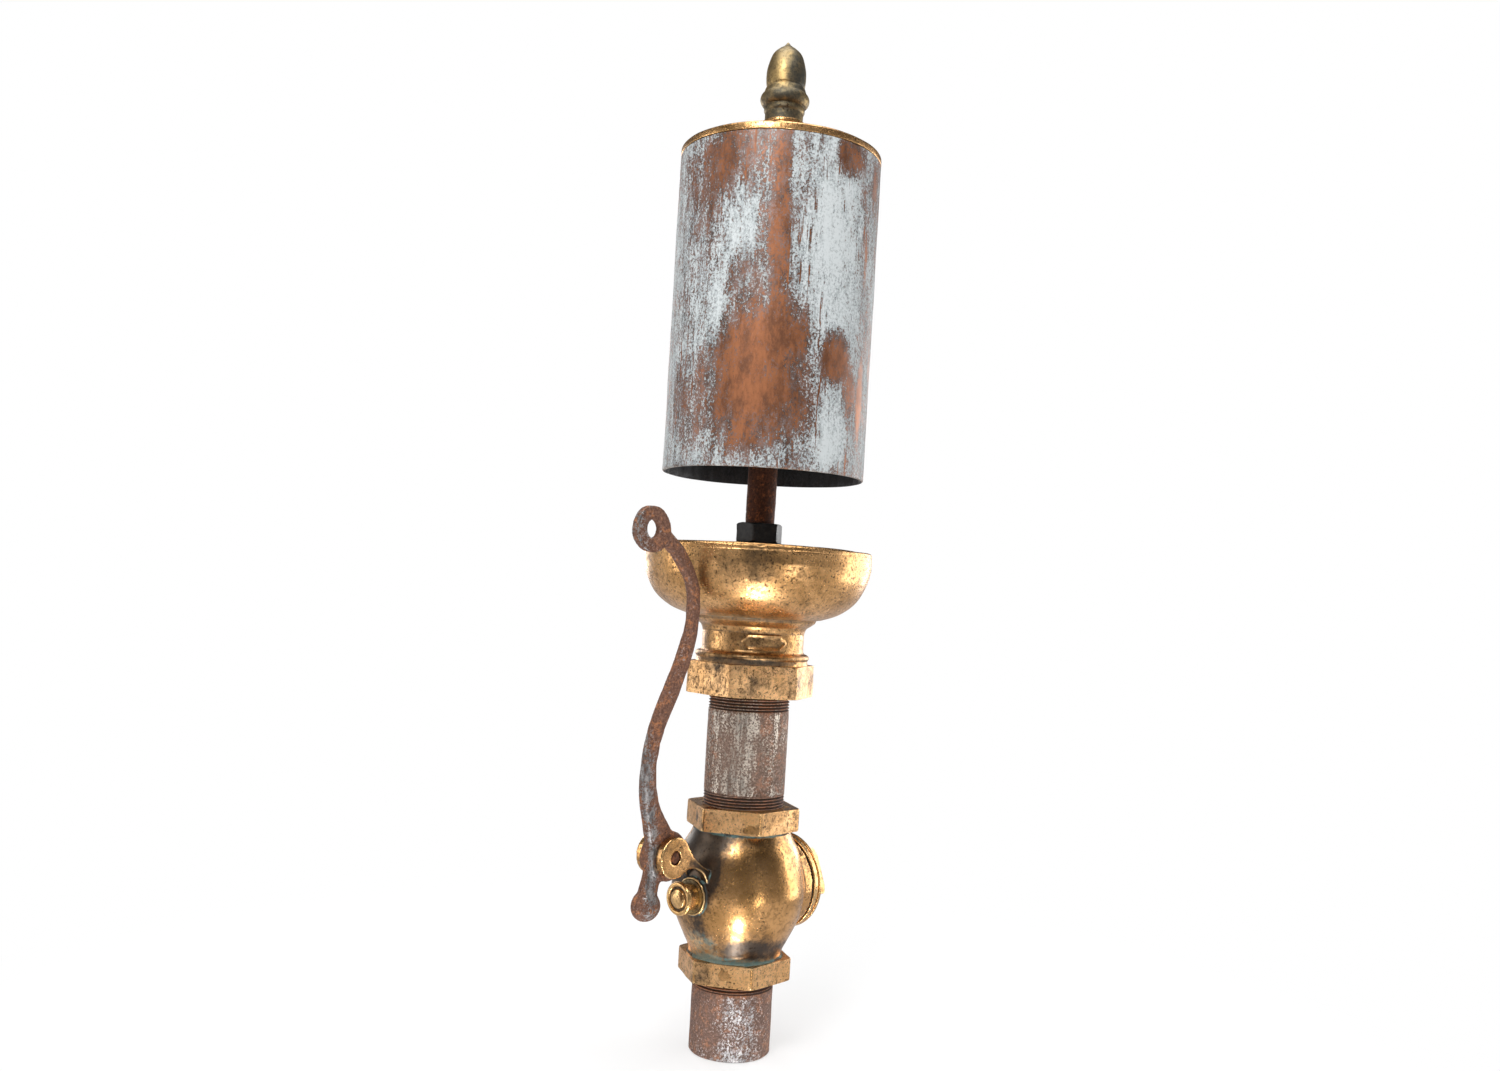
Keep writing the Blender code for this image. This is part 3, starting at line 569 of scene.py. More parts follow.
def patina_copper():
    """The bell's copper: brown and orange metal under a pale, speckled, streaked verdigris."""
    paint = Paint("patina_copper")
    middle = (BELL_LIP + BELL_TOP) / 2
    # Where verdigris is thick or rubbed away: turn, height from the middle, half width, half height, gain
    places = [
        (-10, -46, 40, 34, -0.34),
        (-4, -84, 40, 26, -0.30),
        (8, -20, 22, 22, -0.24),
        (-22, 58, 17, 34, 0.13),
        (1, 56, 8, 70, -0.28),
        (-42, 80, 22, 38, -0.12),
        (-16, 10, 14, 24, -0.12),
        (24, 50, 20, 60, 0.16),
        (38, 6, 20, 120, 0.18),
        (38, -38, 14, 20, -0.52),
        (50, -58, 8, 20, -0.30),
        (62, -66, 5, 30, -0.45),
        (-66, 0, 17, 125, 0.05),
        (-38, -20, 18, 44, 0.08),
        (32, -96, 40, 20, 0.14),
        (41, 103, 13, 15, -0.36),
        (66, 92, 5, 16, -0.30),
        (-24, 100, 24, 26, -0.20),
        (-50, -78, 22, 34, -0.16),
    ]
    spots = [(turn, BELL_R, middle + height, wide, tall, gain) for turn, height, wide, tall, gain in places]
    field = paint.times(paint.noise(30, 5, 0.62, squash=0.6, warp=0.4), 0.60)
    streak = paint.noise(6, 6, 0.7, squash=0.10, shift=2)
    field = paint.add(field, streak, 0.75)
    ragged = paint.noise(9, 7, 0.8, squash=0.6, shift=3)
    field = paint.add(field, ragged, 0.75)
    speckle = paint.noise(1.5, 3, 0.8, squash=0.8, shift=4)
    field = paint.add(field, speckle, 1.5)
    field = paint.with_spots(field, spots)
    scratch = paint.band(paint.noise(2.4, 2, squash=0.05, shift=13), 0.60, 0.68)
    patches = paint.band(paint.noise(22, 3, squash=0.4, shift=14), 0.46, 0.60)
    field = paint.add(field, paint.times(scratch, patches), -0.5)
    verdigris = paint.band(field, 1.74, 1.83)
    thick = paint.band(field, 1.86, 2.14)
    bare = paint.band(paint.add(field, paint.noise(18, 5, 0.7, shift=6), 0.45), 1.88, 1.66)
    cloud = paint.noise(7, 6, 0.75, squash=0.5, shift=8)
    brown = paint.tones(cloud, 0.36, 0.62, (0.090, 0.060, 0.050), (0.24, 0.155, 0.130))
    cloud = paint.noise(11, 6, 0.75, squash=0.5, shift=9)
    orange = paint.tones(cloud, 0.36, 0.62, (0.16, 0.065, 0.032), (0.36, 0.135, 0.055))
    metal = paint.mix(bare, brown, orange)
    cloud = paint.noise(12, 6, 0.75, squash=0.3, shift=11)
    pale = paint.tones(cloud, 0.40, 0.64, (0.30, 0.335, 0.345), (0.50, 0.545, 0.55))
    pale = paint.mix(thick, pale, (0.60, 0.64, 0.645))
    colour = paint.mix(paint.times(verdigris, 0.93), metal, pale)
    edge = paint.times(paint.band(paint.relief, 0.20, 0.6), 0.8)
    colour = paint.mix(edge, colour, (0.60, 0.34, 0.12))
    # Painted shade: the inside of the bell's tube is painted near-black
    flat = paint.node("VectorMath", {0: paint.place, 1: (1.0, 1.0, 0.0)}, operation="MULTIPLY").outputs[0]
    reach = paint.node("VectorMath", {0: flat}, operation="LENGTH").outputs["Value"]
    inner = paint.band(reach, (BELL_R - 0.6) * MM, (BELL_R - 1.4) * MM)
    inside_shade = paint.tones(speckle, 0.4, 0.6, (0.012, 0.013, 0.015), (0.045, 0.046, 0.05))
    colour = paint.mix(inner, colour, inside_shade)
    rough = paint.blend(verdigris, 0.45, 0.84)
    metallic = paint.blend(verdigris, 0.55, 0.0)
    metallic = paint.blend(inner, metallic, 0.0)
    bumps = [(verdigris, 0.09), (speckle, 0.14), (streak, 0.10)]
    return paint.finish(colour, rough, metallic, bumps)


def plain(name, light, dark, roughness, metallic, size=4.0):
    """A simple worked surface in two close tones, for pieces that are mostly out of sight."""
    paint = Paint(name)
    grain = paint.noise(size, 4, 0.65)
    colour = paint.tones(grain, 0.35, 0.65, dark, light)
    return paint.finish(colour, roughness, metallic, [(paint.noise(size * 0.3, 3), 0.08)])


# ---- pieces


def make_inlet_pipe(finish):
    outer = [(PIPE_R - 1.2, PIPE_TOP), (PIPE_R, PIPE_TOP - 1.2), (PIPE_R, 0.9), (PIPE_R - 0.9, 0)]
    bore = [(PIPE_BORE_R + 0.8, 0), (PIPE_BORE_R, 0.8), (PIPE_BORE_R, PIPE_TOP), (PIPE_R - 1.2, PIPE_TOP)]
    thread_foot = VALVE_FOOT - 3.6 * THREAD_PITCH
    profile = dense(outer[:2] + [(PIPE_R, thread_foot)], 0.3)
    profile += dense([(PIPE_R, thread_foot - 1.2)] + outer[2:], 1.2)
    profile += dense(bore, 4)[:-1]
    made = lathe("inlet_pipe_skin", profile, 168, shape=threaded((thread_foot, PIPE_TOP + 9)))
    weather(made, lumps=(0.25, 22), pits=(0.5, 2.4), seed=3)
    settle(made, finish, "inlet_pipe", crest=PIPE_R)


def make_riser(finish):
    foot_thread = VALVE_HEAD + 4.6 * THREAD_PITCH
    head_thread = BOWL_FOOT - 5.4 * THREAD_PITCH
    down = [(PIPE_R - 1.2, RISER_TOP), (PIPE_R, RISER_TOP - 1.2), (PIPE_R, head_thread)]
    profile = dense(down, 0.32)
    profile += dense([(PIPE_R, head_thread - 1.2), (PIPE_R, foot_thread + 1.2)], 1.2)
    profile += dense([(PIPE_R, foot_thread), (PIPE_R, RISER_FOOT + 1.2), (PIPE_R - 1.2, RISER_FOOT)], 0.32)
    profile += dense([(PIPE_BORE_R, RISER_FOOT), (PIPE_BORE_R, RISER_TOP)], 6)
    shape = threaded((RISER_FOOT - 9, foot_thread), (head_thread, RISER_TOP + 9))
    made = lathe("riser_skin", profile, 168, shape=shape)
    weather(made, lumps=(0.12, 18), pits=(0.3, 2.0), seed=5)
    settle(made, finish, "riser_nipple", crest=PIPE_R)


def globe_outline():
    """The globe's outside from its foot up: radius and height."""
    rises = [(35.0, 16), (35.2, 21), (39.0, 29), (45.5, 43), (49.1, 57), (49.5, 69), (44.0, 92), (38.0, 104)]
    keys = [(radius, VALVE_FOOT + rise) for radius, rise in rises]
    return curve(keys + [(35.5, VALVE_HEAD - 16.5)], 12)


def make_valve_casting(finish):
    """The valve's body from its CAD node, with the globe's facets moved onto its round outline."""
    made = recast("valve_casting", "valve_body", 0.8, 4)
    mesh = made.data
    points = read(mesh, "co") / MM
    radius = np.hypot(points[:, 0], points[:, 1])
    outline = np.array(globe_outline())
    ideal = np.interp(points[:, 2], outline[:, 1], outline[:, 0])
    share = np.clip(1.6 - np.abs(radius - ideal) / 0.6, 0, 1)
    share *= np.clip((points[:, 2] - outline[0, 1]) / 3, 0, 1)
    share *= np.clip((outline[-1, 1] - points[:, 2]) / 3, 0, 1)
    scale = 1 + share * (ideal / np.maximum(radius, 1) - 1)
    points[:, :2] *= scale[:, None]
    write(mesh, points * MM)
    weather(made, lumps=(0.16, 22), pits=(0.26, 1.9), pit_start=0.26, seed=11, smooth_past=51)
    settle(made, finish, "valve_body", sharp=60)


def hex_collar(name, corner_r, foot, head, turn, chamfer, finish, node):
    """A cast hexagon with its corners turned off at both ends."""
    drop = chamfer * 0.6
    outline = [(PIPE_SOCKET_R, head), (corner_r - chamfer, head), (corner_r + 0.1, head - drop)]
    outline += [(corner_r + 0.1, foot + drop), (corner_r - chamfer, foot), (PIPE_SOCKET_R, foot)]
    profile = dense(eased(outline, 0.7), 1.1)
    profile += [(PIPE_SOCKET_R, foot + 1), (PIPE_SOCKET_R, head - 1)]
    shape = milled(6, 2 * corner_r * cos(pi / 6), turn)
    made = lathe(name, profile, 192, shape=shape, turn=turn)
    weather(made, lumps=(0.3, 13), pits=(0.35, 1.8), seed=corner_r + foot)
    settle(made, finish, node)


def make_collars(finish):
    """The valve's two hexagon ends, and the hexagon foot of the bowl."""
    hexagons = {
        "foot_collar": (VALVE_FOOT, VALVE_FOOT + FOOT_HEX_HEIGHT),
        "head_collar": (VALVE_HEAD - HEAD_HEX_HEIGHT, VALVE_HEAD),
    }
    for name, (foot, head) in hexagons.items():
        hex_collar(name, HEX_R + 0.15, foot, head, 0, 1.0, finish, "valve_body")
    head = BOWL_FOOT + BOWL_HEX_HEIGHT
    turn = BOWL_HEX_TURN
    hex_collar("bowl_collar", BOWL_HEX_R, BOWL_FOOT, head, turn, 1.3, finish, "whistle_bowl")


def make_cap(finish):
    """The access cap along X: a grooved flange, the skirt and its recess, and a square head."""
    front, back = CAP_FACE + 12.0, CAP_FACE + 1.6
    flange_r, groove_r, skirt_r, recess_r = 36.5, 34.8, 24.6, 17.0
    outline = below(front, [(0, 0), (flange_r - 1.9, 0.6), (flange_r, 2.2), (flange_r, 4.5)])
    outline += below(front, [(groove_r, 4.8), (groove_r, 6.0), (flange_r, 6.3)])
    outline += [(flange_r, back + 0.4), (flange_r - 0.5, back), (skirt_r, back), (skirt_r, CAP_INNER_END)]
    outline += [(recess_r, CAP_INNER_END), (recess_r, front - 5.5), (0, front - 5.5)]
    made = lathe("cap_flange", dense(eased(outline, 0.35), 1.2), 168, "X")
    weather(made, lumps=(0.06, 10), pits=(0.05, 1.5), seed=21)
    settle(made, finish, "valve_cap")
    square = 36.0
    head = [(0, CAP_OUTER_END), (square * 0.60, CAP_OUTER_END), (square * 0.70, CAP_OUTER_END - 2.4)]
    head += [(square * 0.71, front - 3), (0, front - 3)]
    block = lathe("cap_square", dense(eased(head, 0.8), 1.2), 160, "X", shape=milled(4, square, 22), turn=22)
    weather(block, lumps=(0.3, 9), pits=(0.1, 1.5), seed=23)
    settle(block, finish, "valve_cap")


def make_stem(finish):
    """The plunger along X, from its tip in the valve outward, and the button on it."""
    tip, back = high("valve_stem").x, low("valve_stem").x
    thread_r, shaft_r, stop_r, head_r, socket_r = 4.1, 5.5, 7.5, 9.3, 4.0
    shaft = below(tip, [(0, 0), (thread_r - 0.6, 0), (thread_r, 0.6), (thread_r, 8), (shaft_r, 8)])
    shaft += below(tip, [(shaft_r, 17), (stop_r, 17), (stop_r, 19.6), (shaft_r, 19.6), (shaft_r, 60)])
    shaft += [(head_r, tip - 60), (head_r, back), (socket_r, back), (socket_r, back + 6.4), (0, back + 6.4)]
    made = lathe("stem_shaft", dense(eased(shaft, 0.3), 1.2), 64, "X")
    weather(made, lumps=(0.08, 7), pits=(0.1, 1.4), seed=31)
    settle(made, finish, "valve_stem", "stem")
    root, peg_r = high("stem_button").x, socket_r - 0.4
    rim = [(peg_r, 4.3), (BUTTON_R, 4.3), (BUTTON_R, 2.2), (BUTTON_R - 0.9, 1.3)]
    ring_and_dome = [(9.1, 1.3), (8.5, 2.8), (7.2, 2.8), (6.5, 1.2), (3.8, 0.2), (0, 0)]
    button = [(0, root), (peg_r, root)] + [(r, BUTTON_END + rise) for r, rise in rim + ring_and_dome]
    made = lathe("button_head", dense(eased(button, 0.35), 0.7), 96, "X")
    weather(made, lumps=(0.04, 6), seed=33)
    settle(made, finish, "stem_button", "stem")


def make_spring(finish):
    """A wound wire along the stem, between the ends of the spring's CAD node."""
    coil_r, wire_r, turns, sides, steps = 12.6, 1.2, 5, 10, 36
    start, end = low("valve_spring").x + wire_r, high("valve_spring").x - wire_r
    angle = np.linspace(0, 2 * pi * turns, steps * turns + 1)[:, None]
    around = np.arange(sides)[None, :] * 2 * pi / sides
    reach = coil_r + wire_r * np.cos(around)
    along = start + (end - start) * angle / (2 * pi * turns) + wire_r * np.sin(around)
    points = np.stack([reach * np.cos(angle), reach * np.sin(angle), along + 0 * angle], -1)
    faces = ring_faces(len(points), sides, closed=False)
    made = build("spring_coil", points.reshape(-1, 3), faces, "X")
    close_ends(made)
    settle(made, finish, "valve_spring")
    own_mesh(made)


def close_ends(made):
    bm = bmesh.new()
    bm.from_mesh(made.data)
    bmesh.ops.holes_fill(bm, edges=[e for e in bm.edges if e.is_boundary])
    bmesh.ops.recalc_face_normals(bm, faces=bm.faces)
    bm.to_mesh(made.data)
    bm.free()


def make_lever(finish, pin_finish):
    made = recast("lever_bar", "lever", 0.75, 9)
    weather(made, lumps=(0.5, 11), pits=(0.75, 2.1), pit_start=0.18, seed=41)
    settle(made, finish, "lever", "lever_arm", sharp=70)
    half = -low("lever_pin").y
    outline = [(0, -half), (3.2, -half), (4.6, -half + 1.0), (4.6, half - 1.0), (3.2, half), (0, half)]
    pin = lathe("lever_rivet", dense(eased(outline, 0.6), 0.8), 64)
    turn = Matrix.Translation(PIVOT * MM) @ Matrix.Rotation(pi / 2, 4, "X")
    pin.data.transform(turn)
    weather(pin, lumps=(0.2, 4), pits=(0.3, 1.6), seed=43)
    settle(pin, pin_finish, "lever_pin")


def run_from(angle, turn, radius):
    """How far round a circle an angle lies from a turn in degrees."""
    return (np.mod(angle - radians(turn) + pi, 2 * pi) - pi) * radius


def lozenge(radius, angle, height):
    """Raises a plain blunt-ended lozenge on the bowl's neck."""
    middle, half_long, half_tall, rise = BOWL_FOOT + 40.4, 17.0, 5.2, 1.3
    run = run_from(angle, FACING + 13, NECK_R)
    off_middle = np.abs(height - middle)
    inside = np.minimum(half_tall - off_middle, half_long - np.abs(run) - off_middle)
    frame_line = np.clip((inside + 0.5) / 0.7, 0, 1) - 0.75 * np.clip((inside - 0.9) / 0.6, 0, 1)
    on_neck = (off_middle < 9) & (radius > NECK_R - 6)
    return radius + rise * frame_line * on_neck


def bowl_shape(radius, angle, height):
    """The lozenge, and a small nick in the lip on the viewer's side."""
    radius = lozenge(radius, angle, height)
    run = run_from(angle, FACING + 1, BOWL_R)
    nick = np.clip(1.4 - np.abs(run) / 1.6, 0, 1) * np.clip((height - BOWL_LIP + 2.0) / 2, 0, 1)
    return radius - 1.6 * nick * (radius > BOWL_R - 3)


def make_bowl(finish):
    """The bowl: down its outside from the lip to the hexagon's sleeve, then up its inside."""
    bore_r = 26.0
    lip = BOWL_LIP
    outside = [(76.5, lip), (BOWL_R - 1.2, lip), (BOWL_R - 0.2, lip - 1.0), (BOWL_R, lip - 3.0)]
    outside += [(BOWL_R - 0.35, lip - 3.6), (BOWL_R, lip - 4.2)]
    swell = [(BOWL_R, 12.9), (82.0, 24.3), (74.8, 37.2), (63.0, 46.3), (50.0, 51.2)]
    outside += curve(below(lip, swell), 10)
    outside += [(46.5, lip - 51.8), (45.6, lip - 53.8)]
    waist = [(45.4, 54.0), (43.0, 55.9), (39.4, 58.5), (NECK_R, 62.6)]
    outside += curve(below(lip, waist), 6)
    ring = [(NECK_R, 34.2), (38.8, 32.3), (41.5, 31.1), (42.6, 29.0), (41.5, 26.9)]
    outside += curve([(r, BOWL_FOOT + rise) for r, rise in ring], 6)
    sleeve_r = 41.0
    outside += [(42.2, BOWL_FOOT + 23.7), (sleeve_r, BOWL_FOOT + 23.0), (sleeve_r, BOWL_FOOT + 6.0)]
    socket_r = PIPE_R + 0.4
    inside = [(socket_r, BOWL_FOOT + 6.0), (socket_r, BOWL_FOOT + 21.0), (bore_r, BOWL_FOOT + 21.0)]
    dish = [(bore_r, 56.4), (38.0, 45.0), (57.0, 38.3), (71.0, 27.9), (75.0, 14.0)]
    inside += curve(below(lip, dish), 4) + [(75.0, lip - 1.2)]
    profile = dense(eased(outside, 0.3), 0.9) + dense(inside, 5)
    made = lathe("bowl_shell", profile, 300, shape=bowl_shape)
    weather(made, lumps=(0.26, 26), pits=(0.32, 1.9), pit_start=0.24, seed=51)
    settle(made, finish, "whistle_bowl")


def make_bowl_disc(finish):
    rim_r, boss_r = RIM_DISC_R, 17.0
    rim = [(ROD_HOLE_R, 0), (rim_r - 0.9, 0), (rim_r, 0.9), (rim_r, 8.7), (rim_r - 4, 8.7)]
    outline = below(RIM_DISC_TOP, rim + [(rim_r - 7, 5.2), (boss_r, 5.2)])
    outline += [(boss_r, RIM_DISC_FOOT), (ROD_HOLE_R, RIM_DISC_FOOT)]
    made = lathe("rim_disc", dense(eased(outline, 0.4), 2.2), 200)
    weather(made, lumps=(0.2, 20), pits=(0.2, 2.0), seed=53)
    settle(made, finish, "bowl_disc")


def make_spindle(rusty, black):
    """The rod, and the washer and hexagon nut that hold the disc on it."""
    outline = [(0, SPINDLE_TOP), (SPINDLE_R - 1, SPINDLE_TOP), (SPINDLE_R, SPINDLE_TOP - 1)]
    outline += [(SPINDLE_R, SPINDLE_FOOT + 1), (SPINDLE_R - 1, SPINDLE_FOOT), (0, SPINDLE_FOOT)]
    made = lathe("spindle_rod", dense(outline, 1.0), 72)
    weather(made, lumps=(0.3, 9), pits=(1.1, 2.6), pit_start=0.12, seed=61)
    settle(made, rusty, "spindle", sharp=70)
    foot, head = ends("spindle_washer")
    washer_r = high("spindle_washer").x
    washer = [(ROD_HOLE_R, head), (washer_r - 1.9, head), (washer_r, foot + 0.9)]
    washer += [(washer_r, foot), (ROD_HOLE_R, foot)]
    made = lathe("rod_washer", dense(eased(washer, 0.4), 0.8), 96)
    weather(made, lumps=(0.2, 6), pits=(0.3, 1.6), seed=63)
    settle(made, black, "spindle_washer")
    foot, head = ends("spindle_nut")
    corner_r = 17.9
    nut = [(ROD_HOLE_R, head), (corner_r - 2.2, head), (corner_r, head - 1.4)]
    nut += [(corner_r, foot + 1.0), (corner_r - 1.2, foot), (ROD_HOLE_R, foot)]
    turn = BOWL_HEX_TURN + 3
    shape = milled(6, 2 * corner_r * cos(pi / 6), turn)
    made = lathe("rod_nut", dense(eased(nut, 0.8), 0.8), 120, shape=shape, turn=turn)
    weather(made, lumps=(0.35, 6), pits=(0.35, 1.6), seed=65)
    settle(made, black, "spindle_nut")


def make_bell(copper, gold):
    """The bell's open tube, its top plate with the boss, and the washer on the boss."""
    inner_r = BELL_R - BELL_WALL
    outer = [(BELL_R - 0.6, BELL_SHOULDER), (BELL_R, BELL_SHOULDER - 0.5)]
    outer += [(BELL_R, BELL_LIP + 0.8), (BELL_R - 0.8, BELL_LIP)]
    inner = [(inner_r + 0.3, BELL_LIP), (inner_r, BELL_LIP + 0.6), (inner_r, BELL_SHOULDER)]
    made = lathe("bell_wall", dense(outer, 2.2) + dense(inner, 12), 220)
    weather(made, lumps=(0.45, 38), pits=(0.22, 3.0), seed=71)
    settle(made, copper, "bell_tube", "bell", sharp=50)
    spigot_r = inner_r - GAP
    edge_foot = BELL_SHOULDER + GAP
    boss_r = 16.5
    plate = [(ROD_HOLE_R, BOSS_TOP), (boss_r, BOSS_TOP), (boss_r, BELL_TOP + 5)]
    plate += [(boss_r + 1.5, BELL_TOP + 1.5), (boss_r + 5.5, BELL_TOP), (BELL_R - 1.2, BELL_TOP)]
    plate += [(BELL_R, BELL_TOP - 1.2), (BELL_R, edge_foot), (spigot_r, edge_foot)]
    plate += [(spigot_r, PLATE_FOOT), (ROD_HOLE_R, PLATE_FOOT)]
    made = lathe("crown_plate", dense(eased(plate, 0.5), 2.0), 220)
    weather(made, lumps=(0.3, 26), pits=(0.3, 2.2), seed=73)
    settle(made, gold, "bell_top_plate", "bell")
    foot, head = ends("bell_washer")
    washer = [(ROD_HOLE_R, head), (boss_r + 0.1, head), (boss_r + 0.1, foot), (ROD_HOLE_R, foot)]
    made = lathe("crown_washer", dense(eased(washer, 0.5), 0.8), 96)
    settle(made, gold, "bell_washer", "bell")


def make_acorn(finish):
    """The finial: an acorn over a bead, a small ring and a plain foot, bored for the spindle."""
    acorn = [(0.8, 0.7), (3.1, 3.3), (7.2, 6.2), (11.5, 11.0), (14.4, 20.5), (15.0, 27.0), (14.6, 33.5)]
    outline = [(0, TIP)] + curve(below(TIP, acorn), 8)
    outline += below(TIP, [(13.9, 34.8), (15.0, 36.2)])
    outline += arc((12.4, TIP - 44.5), 6.0, 52, -52, 12)
    outline += below(TIP, [(14.7, 49.8), (15.3, 51.6), (15.3, 53.4), (14.4, 54.8)])
    outline += [(14.2, ACORN_FOOT)]
    bore = [(ROD_HOLE_R, ACORN_FOOT), (ROD_HOLE_R, TIP - 19), (0, TIP - 16)]
    made = lathe("acorn_finial", dense(eased(outline, 0.35), 0.8) + dense(bore, 4), 120)
    weather(made, lumps=(0.18, 10), pits=(0.12, 1.6), seed=81)
    settle(made, finish, "acorn_nut", "bell")


# ---- the whistle's own finishes
#
# A spot is (turn in degrees from the viewer, radius, height, half width, half height, gain).


def gold_brass():
    """Polished yellow brass, with shade painted under the lip and round the neck, and black shade painted
    into the neck's corners.
    """
    return brass(
        "gold_brass", (0.88, 0.50, 0.21), (0.62, 0.335, 0.125), smoke_level=0.05, gloss=0.27,
        pitting=1.3, film_and_shade_tone=(0.105, 0.068, 0.036),
        # Painted shade: darker under the lip on the viewer's side and round the neck's ring; the third spot
        # darkens the neck over the lozenge
        film_and_shade_spots=[
            (-4, 82, BOWL_LIP - 16, 70, 14, 0.18),
            (0, 38, BOWL_FOOT + 28, 44, 5, 0.26),
            (-8, NECK_R, BOWL_FOOT + 39, 60, 8, 0.10),
        ],
        mossy=[(-20, 49, BOWL_LIP - 51, 34, 2.2, 0.26), (40, 49, BOWL_LIP - 50, 26, 2.2, 0.22)],
        # Painted shade: near-black lines in the neck's corners and creases, and a darker patch on the bowl's
        # left side
        dark_shade_spots=[
            (-8, 42, BOWL_FOOT + 25.5, 46, 3.0, 0.50),
            (-30, 42, BOWL_FOOT + 30, 22, 3.4, 0.22),
            (0, 46, BOWL_LIP - 53, 90, 1.3, 0.42),
            (0, NECK_R, BOWL_LIP - 62.2, 90, 1.0, 0.30),
            (-48, 76, BOWL_LIP - 30, 14, 22, 0.12),
        ],
    )


def old_brass():
    """The valve's casting: brown and dark brass, with shade painted on the side toward the lever and in the
    recess by the stem.
    """
    return brass(
        "old_brass", (0.88, 0.485, 0.195), (0.60, 0.320, 0.115), smoke_level=0.08, gloss=0.22,
        film_and_shade_tone=(0.040, 0.042, 0.043), crust=0.8, grit=0.06, pitting=0.65, shift=20,
        # Painted shade: the globe's dark side toward the lever, the recess by the stem, and a dulled
        # reflection on the ear; the other spots darken bands over and under the globe
        film_and_shade_spots=[
            (-48, 40, STEM_Z + 32, 29, 22, 0.52),
            (-35, 48, STEM_Z + 10, 14, 27, 0.45),
            (-44, 42, STEM_Z - 24, 14, 20, 0.16),
            (-42, 60, STEM_Z + 25, 14, 14, 0.20),
            (6, 36, STEM_Z + 42, 40, 7, 0.12),
            (24, 37, STEM_Z - 38, 32, 9, 0.26),
            (-70, 45, STEM_Z + 8, 26, 26, 0.35),
            (-40, 54, STEM_Z + 10, 13, 9, 0.6),
            (-6, 42, STEM_Z - 28, 40, 8, 0.10),
        ],
        mossy=[
            (-40, 41, STEM_Z - 34, 20, 13, 0.29),
            (0, 36, STEM_Z + 45, 40, 4, 0.16),
            (0, 36, STEM_Z - 47, 40, 5, 0.18),
        ],
    )


def collar_brass():
    """Scratched pale brass of the hexagons, with shade painted on their left facets, their top edges and the
    bowl hexagon's front.
    """
    return brass(
        "collar_brass", (0.98, 0.59, 0.28), (0.78, 0.44, 0.185), gloss=0.36, crust=0.9, pitting=1.3,
        scratched=0.9, shift=40,
        # Painted shade on the hexagons' facets and top edges
        film_and_shade_spots=[
            (-26, HEX_R, VALVE_HEAD - 8, 10, 12, 0.16),
            (36, HEX_R, VALVE_HEAD - 3, 10, 8, 0.10),
            (-33, HEX_R, VALVE_FOOT + 5, 9, 14, 0.14),
            (20, HEX_R, VALVE_FOOT + 16, 30, 4, 0.18),
            (-52, BOWL_HEX_R, BOWL_FOOT + 22, 26, 4, 0.16),
            (0, BOWL_HEX_R, BOWL_FOOT + 12, 90, 16, 0.20),
        ],
    )


def pale_brass():
    """Smooth machined brass of the cap and the stem, with shade painted into the button's groove."""
    return brass(
        "pale_brass", (0.88, 0.56, 0.25), (0.70, 0.41, 0.16), crust=0.9, pitting=0.3, grit=0.05,
        shift=60,
        # Painted shade: a dark ring in the button's groove; the second spot darkens the cap's right side
        dark_shade_spots=[(-38, 66, STEM_Z, 18, 14, 0.14), (86, 50, STEM_Z, 44, 44, 0.10)],
    )


def dark_bronze():
    """The dull acorn nut, with shade painted on its lower part and a highlight painted on its upper left."""
    return brass(
        "dark_bronze", (0.46, 0.32, 0.135), (0.25, 0.195, 0.11), smoke_level=0.18, gloss=0.46,
        crust=0.8, pitting=0.3, film_and_shade_tone=(0.060, 0.062, 0.055), shift=80,
        # Painted shade on the lower part and a darker spot on the right; the negative gain paints a highlight
        # on the upper left
        film_and_shade_spots=[
            (40, 14, TIP - 26, 9, 22, 0.20),
            (0, 12, TIP - 51, 30, 12, 0.22),
            (-24, 14, TIP - 16, 9, 14, -0.35),
        ],
    )


def rusty_iron():
    """The forged lever, rubbed bare along its outer edge."""
    eye_z, tail_z = high("lever").z - 16, low("lever").z + 11
    rubbed_top = 240
    wear_and_sheen = [
        (-32, lever_edge(eye_z), eye_z, 15, 17, 0.22),
        (-36.5, lever_edge(tail_z) - 8.5, tail_z, 9, 15, 0.28),
    ]
    for z in range(int(tail_z) + 16, rubbed_top, 14):
        wear_and_sheen.append((-38.5, lever_edge(z) - 3.5, z, 6.0, 13, 0.30))
    return iron(
        "rusty_iron", (0.33, 0.315, 0.305), (0.235, 0.110, 0.068), (0.46, 0.180, 0.065),
        bloom_level=0.07, gloss=0.50, speckle=2.2, wear_and_sheen=wear_and_sheen,
    )


def rod_rust():
    """The dark rust of the spindle and the lever's pin."""
    return iron(
        "rod_rust", (0.16, 0.10, 0.075), (0.115, 0.036, 0.014), (0.30, 0.10, 0.032), bareness=-0.2,
        bloom_level=0.06, gloss=0.5, shift=20,
    )


def worn_pipe():
    """The inlet pipe: rust, with speckled bare steel on the viewer's side painted bright as a highlight band.
    """
    return iron(
        "worn_pipe", (0.78, 0.76, 0.75), (0.275, 0.165, 0.125), (0.42, 0.195, 0.105), bareness=0.02,
        bloom_level=0.09, gloss=0.30, shift=40, speckle=2.4,
        # Painted highlight: a bright bare band facing the viewer; the spot under the valve's foot collar is
        # rust and painted shade
        wear_and_sheen=[(12, PIPE_R, 22, 17, 60, 0.26), (0, PIPE_R, 4, 26, 8, 0.14)],
        rust_and_shade=[(0, PIPE_R, VALVE_FOOT - 4, 60, 5, 0.3)],
    )


